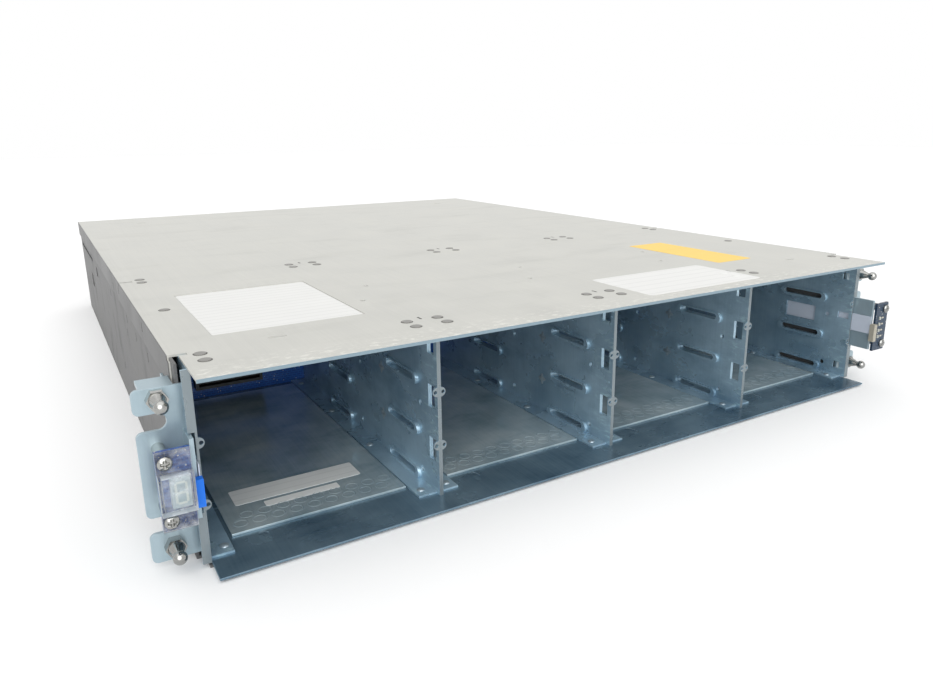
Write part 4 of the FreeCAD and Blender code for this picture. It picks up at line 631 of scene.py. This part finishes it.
# %% Pressed rings on the liners
RING_PITCH = 8.7
RINGS = 9
RING_THICK = 0.7
RING_STAND = 0.16
ring_level = LINER_TOP - RING_THICK + RING_STAND
ring_run = (np.arange(RINGS) - (RINGS - 1) / 2) * RING_PITCH
ring_places = []
for shift, setback in ((-RING_PITCH / 4, 23.5), (RING_PITCH / 4, 30.5)):
    for left in BAY_EDGES:
        ring_columns = left + BAY_PITCH / 2 + ring_run + shift
        ring_places.append(spots(ring_columns, [CAGE_FRONT + setback], [ring_level]))
piece("liner_rings", [copies(ring(3.0, RING_THICK), np.concatenate(ring_places))], liner_zinc)

# %% [markdown]
# ## The cover
# The press half-shears round buttons through the cover sheet where it is joined to the cage. The buttons are
# in the imported model. The fine gap round each one and the thin slit between two pairs, which takes a
# locating tab, are added here as flat dark plates: painted shade.

# %% Painted shade for the gaps and slits on the cover
BUTTON_REACH = 8.2
BUTTON_INSET = 12.5
BUTTON_EDGE = COVER_HALF - BUTTON_INSET
BUTTON_SETBACKS = CAGE_FRONT + np.array([5.7, 15.6, 190.2, 200.1])
SIDE_BUTTON_SETBACK = CAGE_FRONT + 106.0
edge_columns = np.array([-BUTTON_EDGE, BUTTON_EDGE])
button_columns = np.concatenate((DIVIDERS - BUTTON_REACH, DIVIDERS + BUTTON_REACH, edge_columns))
button_places = np.concatenate((spots(button_columns, BUTTON_SETBACKS, [COVER_TOP]),
                                spots(edge_columns, [SIDE_BUTTON_SETBACK], [COVER_TOP])))
gap = turned([(2.5, 0.0), (2.5, 0.02), (2.95, 0.02), (2.95, 0.0)], 24)
slit = plate(1.1, 4.4, 0.5, 0.02)
slit_places = spots(DIVIDERS, CAGE_FRONT + np.array([18.8, 203.3]), [COVER_TOP])
# Painted shade: flat dark rings and slits on the cover's top, where its gaps fall into shade.
piece("cover_gap_shade", [copies(gap, button_places), copies(slit, slit_places)], painted_gap_shade)

# %% [markdown]
# Labels are blank stock: one lies in its recess, one is stuck on near the front edge, and a yellow
# one lies beside it. A narrow label and a strip lie on the first bay's liner.

# %% Blank labels


def label(name, x_range, y_range, z, material, slot, corner=1.0):
    """A thin plate between two x and two y levels, with its underside at z."""
    (x0, x1), (y0, y1) = x_range, y_range
    grid = plate(x1 - x0, y1 - y0, corner, 0.12, 0.03)
    return piece(name, [copies(grid, [(x0 + x1) / 2, (y0 + y1) / 2, z])], material)


RECESS = 0.35
label("cover_label", (-200.6, -128.0), CAGE_FRONT + np.array([42.4, 138.6]), COVER_TOP - RECESS,
      white_label, "cover_steel", 2.0)
label("cover_notice", NOTICE_X, NOTICE_Y, COVER_TOP, plain_label, "cover_steel", 2.5)
label("yellow_notice", (127.0, 159.6), CAGE_FRONT + np.array([42.0, 129.5]), COVER_TOP,
      yellow_label, "cover_steel", 1.5)
label("bay_label", (-198.6, -134.8), CAGE_FRONT + np.array([41.0, 57.0]), LINER_TOP,
      white_label, "liner_steel")
label("bay_strip", (-186.0, -149.0), CAGE_FRONT + np.array([33.0, 38.5]), LINER_TOP,
      plain_label, "liner_steel", 0.6)

# %% [markdown]
# ## The ear boards
# The round-head screws are a good use of a height field: over a disc, the head is a dome, less a
# cross-shaped recess whose walls slope. The same grid serves all four screws.

# %% Cross-recess screws


def cross_head(radius, rise, arm=0.55, reach=1.75, deep=1.0, around=64, rings=16):
    """h(x, y) = H sqrt(1 - 0.8 r^2/R^2) - D max(0, 1 - d/a), where d is the distance from the nearer arm."""
    u = np.linspace(0, 2 * np.pi, around, endpoint=False)[:, None]
    r = radius * np.linspace(1, 0, rings)[None, :]
    x, y = r * np.cos(u), r * np.sin(u)
    along, across = np.maximum(abs(x), abs(y)), np.minimum(abs(x), abs(y))
    cross = np.clip(1.5 - across / arm, 0, 1) * np.clip((reach - along) / 0.3, 0, 1)
    top = rise * np.sqrt(1 - 0.8 * (r / radius) ** 2) - deep * cross
    rim = np.stack((radius * np.cos(u), radius * np.sin(u), 0 * u), axis=-1)
    return np.concatenate((rim * [0, 0, 1], rim, np.stack((x, y, top), axis=-1)), axis=1)


screw_low, screw_high = levels("board_screws")
SCREW_RADIUS = 2.8
SCREW_X = screw_high[0] - SCREW_RADIUS
SCREW_HEIGHTS = (screw_low[2] + SCREW_RADIUS, screw_high[2] - SCREW_RADIUS)
LEFT_SEAT = levels("display_lens")[1][1] - 1.2
RIGHT_SEAT = levels("indicator_board")[0][1]
head = cross_head(SCREW_RADIUS, 2.2)
left_heads = copies(head, spots([-SCREW_X], [LEFT_SEAT], SCREW_HEIGHTS), "front")
right_heads = copies(head, spots([SCREW_X], [RIGHT_SEAT], SCREW_HEIGHTS), "front")
screws = piece("board_screw_heads", [left_heads, right_heads], nickel, crease=25)
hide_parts("board_screws")

# %% [markdown]
# The display shows one digit, unlit: seven pale bars on a grey block. Small parts are soldered to the
# indicator board, where four lamps show through the bezel.

# %% Digit bars and board parts
digit_low, digit_high = levels("display_digit")
digit_middle = (digit_low + digit_high) / 2
BAR, TALL = 3.4, 4.0
across, upright = plate(BAR, 0.9, 0.4, 0.15), plate(0.9, TALL, 0.4, 0.15)
across_places = [(digit_middle[0], digit_low[1], digit_middle[2] + TALL * k * 1.08) for k in (-1, 0, 1)]
upright_places = [(digit_middle[0] + BAR * 0.58 * i, digit_low[1], digit_middle[2] + TALL * 0.54 * k)
                  for i in (-1, 1) for k in (-1, 1)]
piece("digit_bars", [copies(across, across_places, "front"), copies(upright, upright_places, "front")],
      segment_cream)

board_low, board_high = levels("indicator_board")
lamp_heights = board_low[2] + np.linspace(10.0, 23.0, 4)
lamp = plate(1.6, 2.2, 0.4, 1.0, 0.3)
piece("indicator_lamps", [copies(lamp, spots([board_low[0] + 4.0], [board_low[1]], lamp_heights), "front")],
      lamp_grey)
resistor = plate(1.9, 1.0, 0.15, 0.5, 0.08)
display_low, display_high = levels("display_board")
part_columns = board_low[0] + np.array([4.0, 7.5])
part_heights = board_low[2] + np.array([9.0, 13.0, 17.0])
display_heights = display_low[2] + 8 + 4 * np.arange(5)
resistors = [copies(resistor, spots(part_columns[1:], [board_low[1]], lamp_heights), "front"),
             copies(resistor, spots(part_columns, [board_high[1]], part_heights), "rear"),
             copies(resistor, spots([display_low[0] + 2.4], [display_high[1]], display_heights), "rear")]
piece("board_resistors", resistors, resistor_cream)
chip = plate(4.4, 5.2, 0.2, 1.1, 0.15)
chips = [copies(chip, [board_low[0] + 5.5, board_high[1], board_low[2] + 23.0], "rear"),
         copies(chip, [display_low[0] + 7.0, display_high[1], display_low[2] + 17.0], "rear")]
piece("board_chips", chips, chip_black)

# %% [markdown]
# ## The back
# Every data port has a contact tongue, the modules are held by small screws as well as by their
# levers, and each lever has ribs for the thumb. Each piece rides on the body that it belongs to.

# %% Port tongues, lamps and screws on the controllers
PORT_MIDDLES = np.array([-50.0, -23.0, 2.0, 25.0, 50.0])
TONGUE_DEPTH = 12.5
for place in ("lower", "upper"):
    body = f"controller_{place}"
    low = levels(f"{body}_ports")[0][2]
    tongue = plate(11.5, 1.4, 0.3, 9.0, 0.3)
    tongues = copies(tongue, spots(PORT_MIDDLES, [REAR_FACE - TONGUE_DEPTH], [low + 5.0]), "rear")
    piece(f"{body}_tongues", [tongues], black_plastic, body)
    lamps = copies(dome(1.1, 0.7), spots(PORT_MIDDLES, [REAR_FACE], [low + 16.0]), "rear")
    piece(f"{body}_lamps", [lamps], segment_cream, body)
    fixings = copies(cross_head(2.6, 1.4), spots([-86.0, 86.0], [REAR_FACE], [low + 18.0]), "rear")
    piece(f"{body}_screws", [fixings], nickel, body, 25)

# %% [markdown]
# The power modules have two screws each, at the same inset from the top and the bottom of the panel.
# The ribs are worked out from each lever's own box, so one loop serves the long and the short ones.

# %% Screws on the power modules and ribs on the levers
PANEL_INSET = 4.5
ARM_STAND, ARM_HALF = 6.0, 1.5
for hand, side in (("left", -1), ("right", 1)):
    body = f"power_module_{hand}"
    panel_low, panel_high = levels(f"{body}_back_panel")
    spots_here = spots([side * 120.5], [REAR_FACE], [panel_low[2] + PANEL_INSET, panel_high[2] - PANEL_INSET])
    piece(f"{body}_screws", [copies(cross_head(2.6, 1.4), spots_here, "rear")], nickel, body, 25)
lever_names = [n for n in frame["nodes"] if n.endswith("_lever")]
for name in lever_names:
    low, high = levels(name)
    rib = plate(high[0] - low[0] - 2.0, 0.9, 0.4, 0.6, 0.25)
    arm_face = REAR_FACE + ARM_STAND + ARM_HALF
    places = spots([(low[0] + high[0]) / 2], [arm_face], high[2] - 6.0 - 2.4 * np.arange(4))
    piece(f"{name}_ribs", [copies(rib, places, "rear")], lever_plastic, name)

# %% [markdown]
# ## Camera
# The camera stands where the photographer stood: low, close and to the left of the front corner, with
# a fairly wide lens. The numbers come from fitting the corners and the bay spacing to the picture.

# %% Camera
CAMERA_AT = np.array([-261.2, -299.3, 175.9])
CAMERA_YAW, CAMERA_PITCH, CAMERA_ROLL = 31.16, -14.93, 0.56
FOCAL_PIXELS = 730.8
PICTURE_WIDTH = 933
camera = bpy.data.objects.new("camera", bpy.data.cameras.new("camera"))
camera.data.sensor_width = 36.0
camera.data.lens = FOCAL_PIXELS / PICTURE_WIDTH * camera.data.sensor_width
camera.data.shift_x, camera.data.shift_y = -0.0142, -0.0267
camera.data.clip_start = 0.01
camera.location = CAMERA_AT * MM
yaw = Matrix.Rotation(math.radians(-CAMERA_YAW), 3, "Z")
pitch = Matrix.Rotation(math.radians(90 + CAMERA_PITCH), 3, "X")
roll = Matrix.Rotation(math.radians(-CAMERA_ROLL), 3, "Z")
camera.rotation_euler = (yaw @ pitch @ roll).to_euler()
bpy.context.scene.collection.objects.link(camera)
bpy.context.scene.camera = camera
print("lens", round(camera.data.lens, 2), "mm")

# %% [markdown]
# ## Stage and light
# The floor is a plain pale sheet under a white surround. Soft light from overhead makes the lid the
# brightest face, and soft light from beside the camera reaches into the bays. The surround and the
# lamps together light a white card to a value near one, so each colour shows about as it is written.

# %% Floor and surround
FLOOR_HALF = 6.0
corners = FLOOR_HALF * np.array([(-1, -1, 0), (1, -1, 0), (1, 1, 0), (-1, 1, 0)])
floor_mesh = bpy.data.meshes.new("floor")
floor_mesh.from_pydata(corners.tolist(), [], [(0, 1, 2, 3)])
floor = bpy.data.objects.new("floor", floor_mesh)
bpy.context.scene.collection.objects.link(floor)
floor_paper, floor_tree, floor_shader = new_material("floor_paper")
paper_tone = noise(floor_tree, object_place(floor_tree), 3, 2)
paper_colour = mix_colour(floor_tree, paper_tone, (0.955, 0.955, 0.955), (0.965, 0.965, 0.965))
floor_tree.links.new(paper_colour, floor_shader.inputs["Base Color"])
floor_shader.inputs["Roughness"].default_value = 0.9
floor_mesh.materials.append(floor_paper)

world = bpy.data.worlds.new("studio")
bpy.context.scene.world = world
world.use_nodes = True
sky = world.node_tree
background = sky.nodes["Background"]
seen = sky.nodes.new("ShaderNodeLightPath")
mirrored = maths(sky, "MAXIMUM", seen.outputs["Is Glossy Ray"], seen.outputs["Is Transmission Ray"])
shown = maths(sky, "MAXIMUM", seen.outputs["Is Camera Ray"], mirrored)
background.inputs["Color"].default_value = (1, 1, 1, 1)
sky.links.new(spread(sky, shown, 0, 1, 0.55, 1.0), background.inputs["Strength"])

# %% [markdown]
# A sun lamp with a wide angle is as soft as a large cloth screen. Its strength is given as the value
# that a white card shows when it faces the lamp, so the two lamps and the surround are easily added up.

# %% Lamps


def soft_sun(name, direction, strength, angle):
    """Light along a direction; a strength of 1 lights a white card that faces it to a value of 1."""
    lamp = bpy.data.objects.new(name, bpy.data.lights.new(name, "SUN"))
    lamp.data.energy = strength * math.pi
    lamp.data.angle = math.radians(angle)
    x, y, z = direction
    lamp.rotation_euler = (math.atan2(math.hypot(x, y), -z), 0, math.atan2(y, x) - math.pi / 2)
    bpy.context.scene.collection.objects.link(lamp)
    return lamp


soft_sun("overhead", (0.1, 0.15, -1.0), 0.3, 80)
soft_sun("beside_camera", (0.32, 0.85, -0.5), 0.62, 60)
bpy.context.scene.view_settings.view_transform = "Standard"
print("lamps:", len(bpy.data.lights))
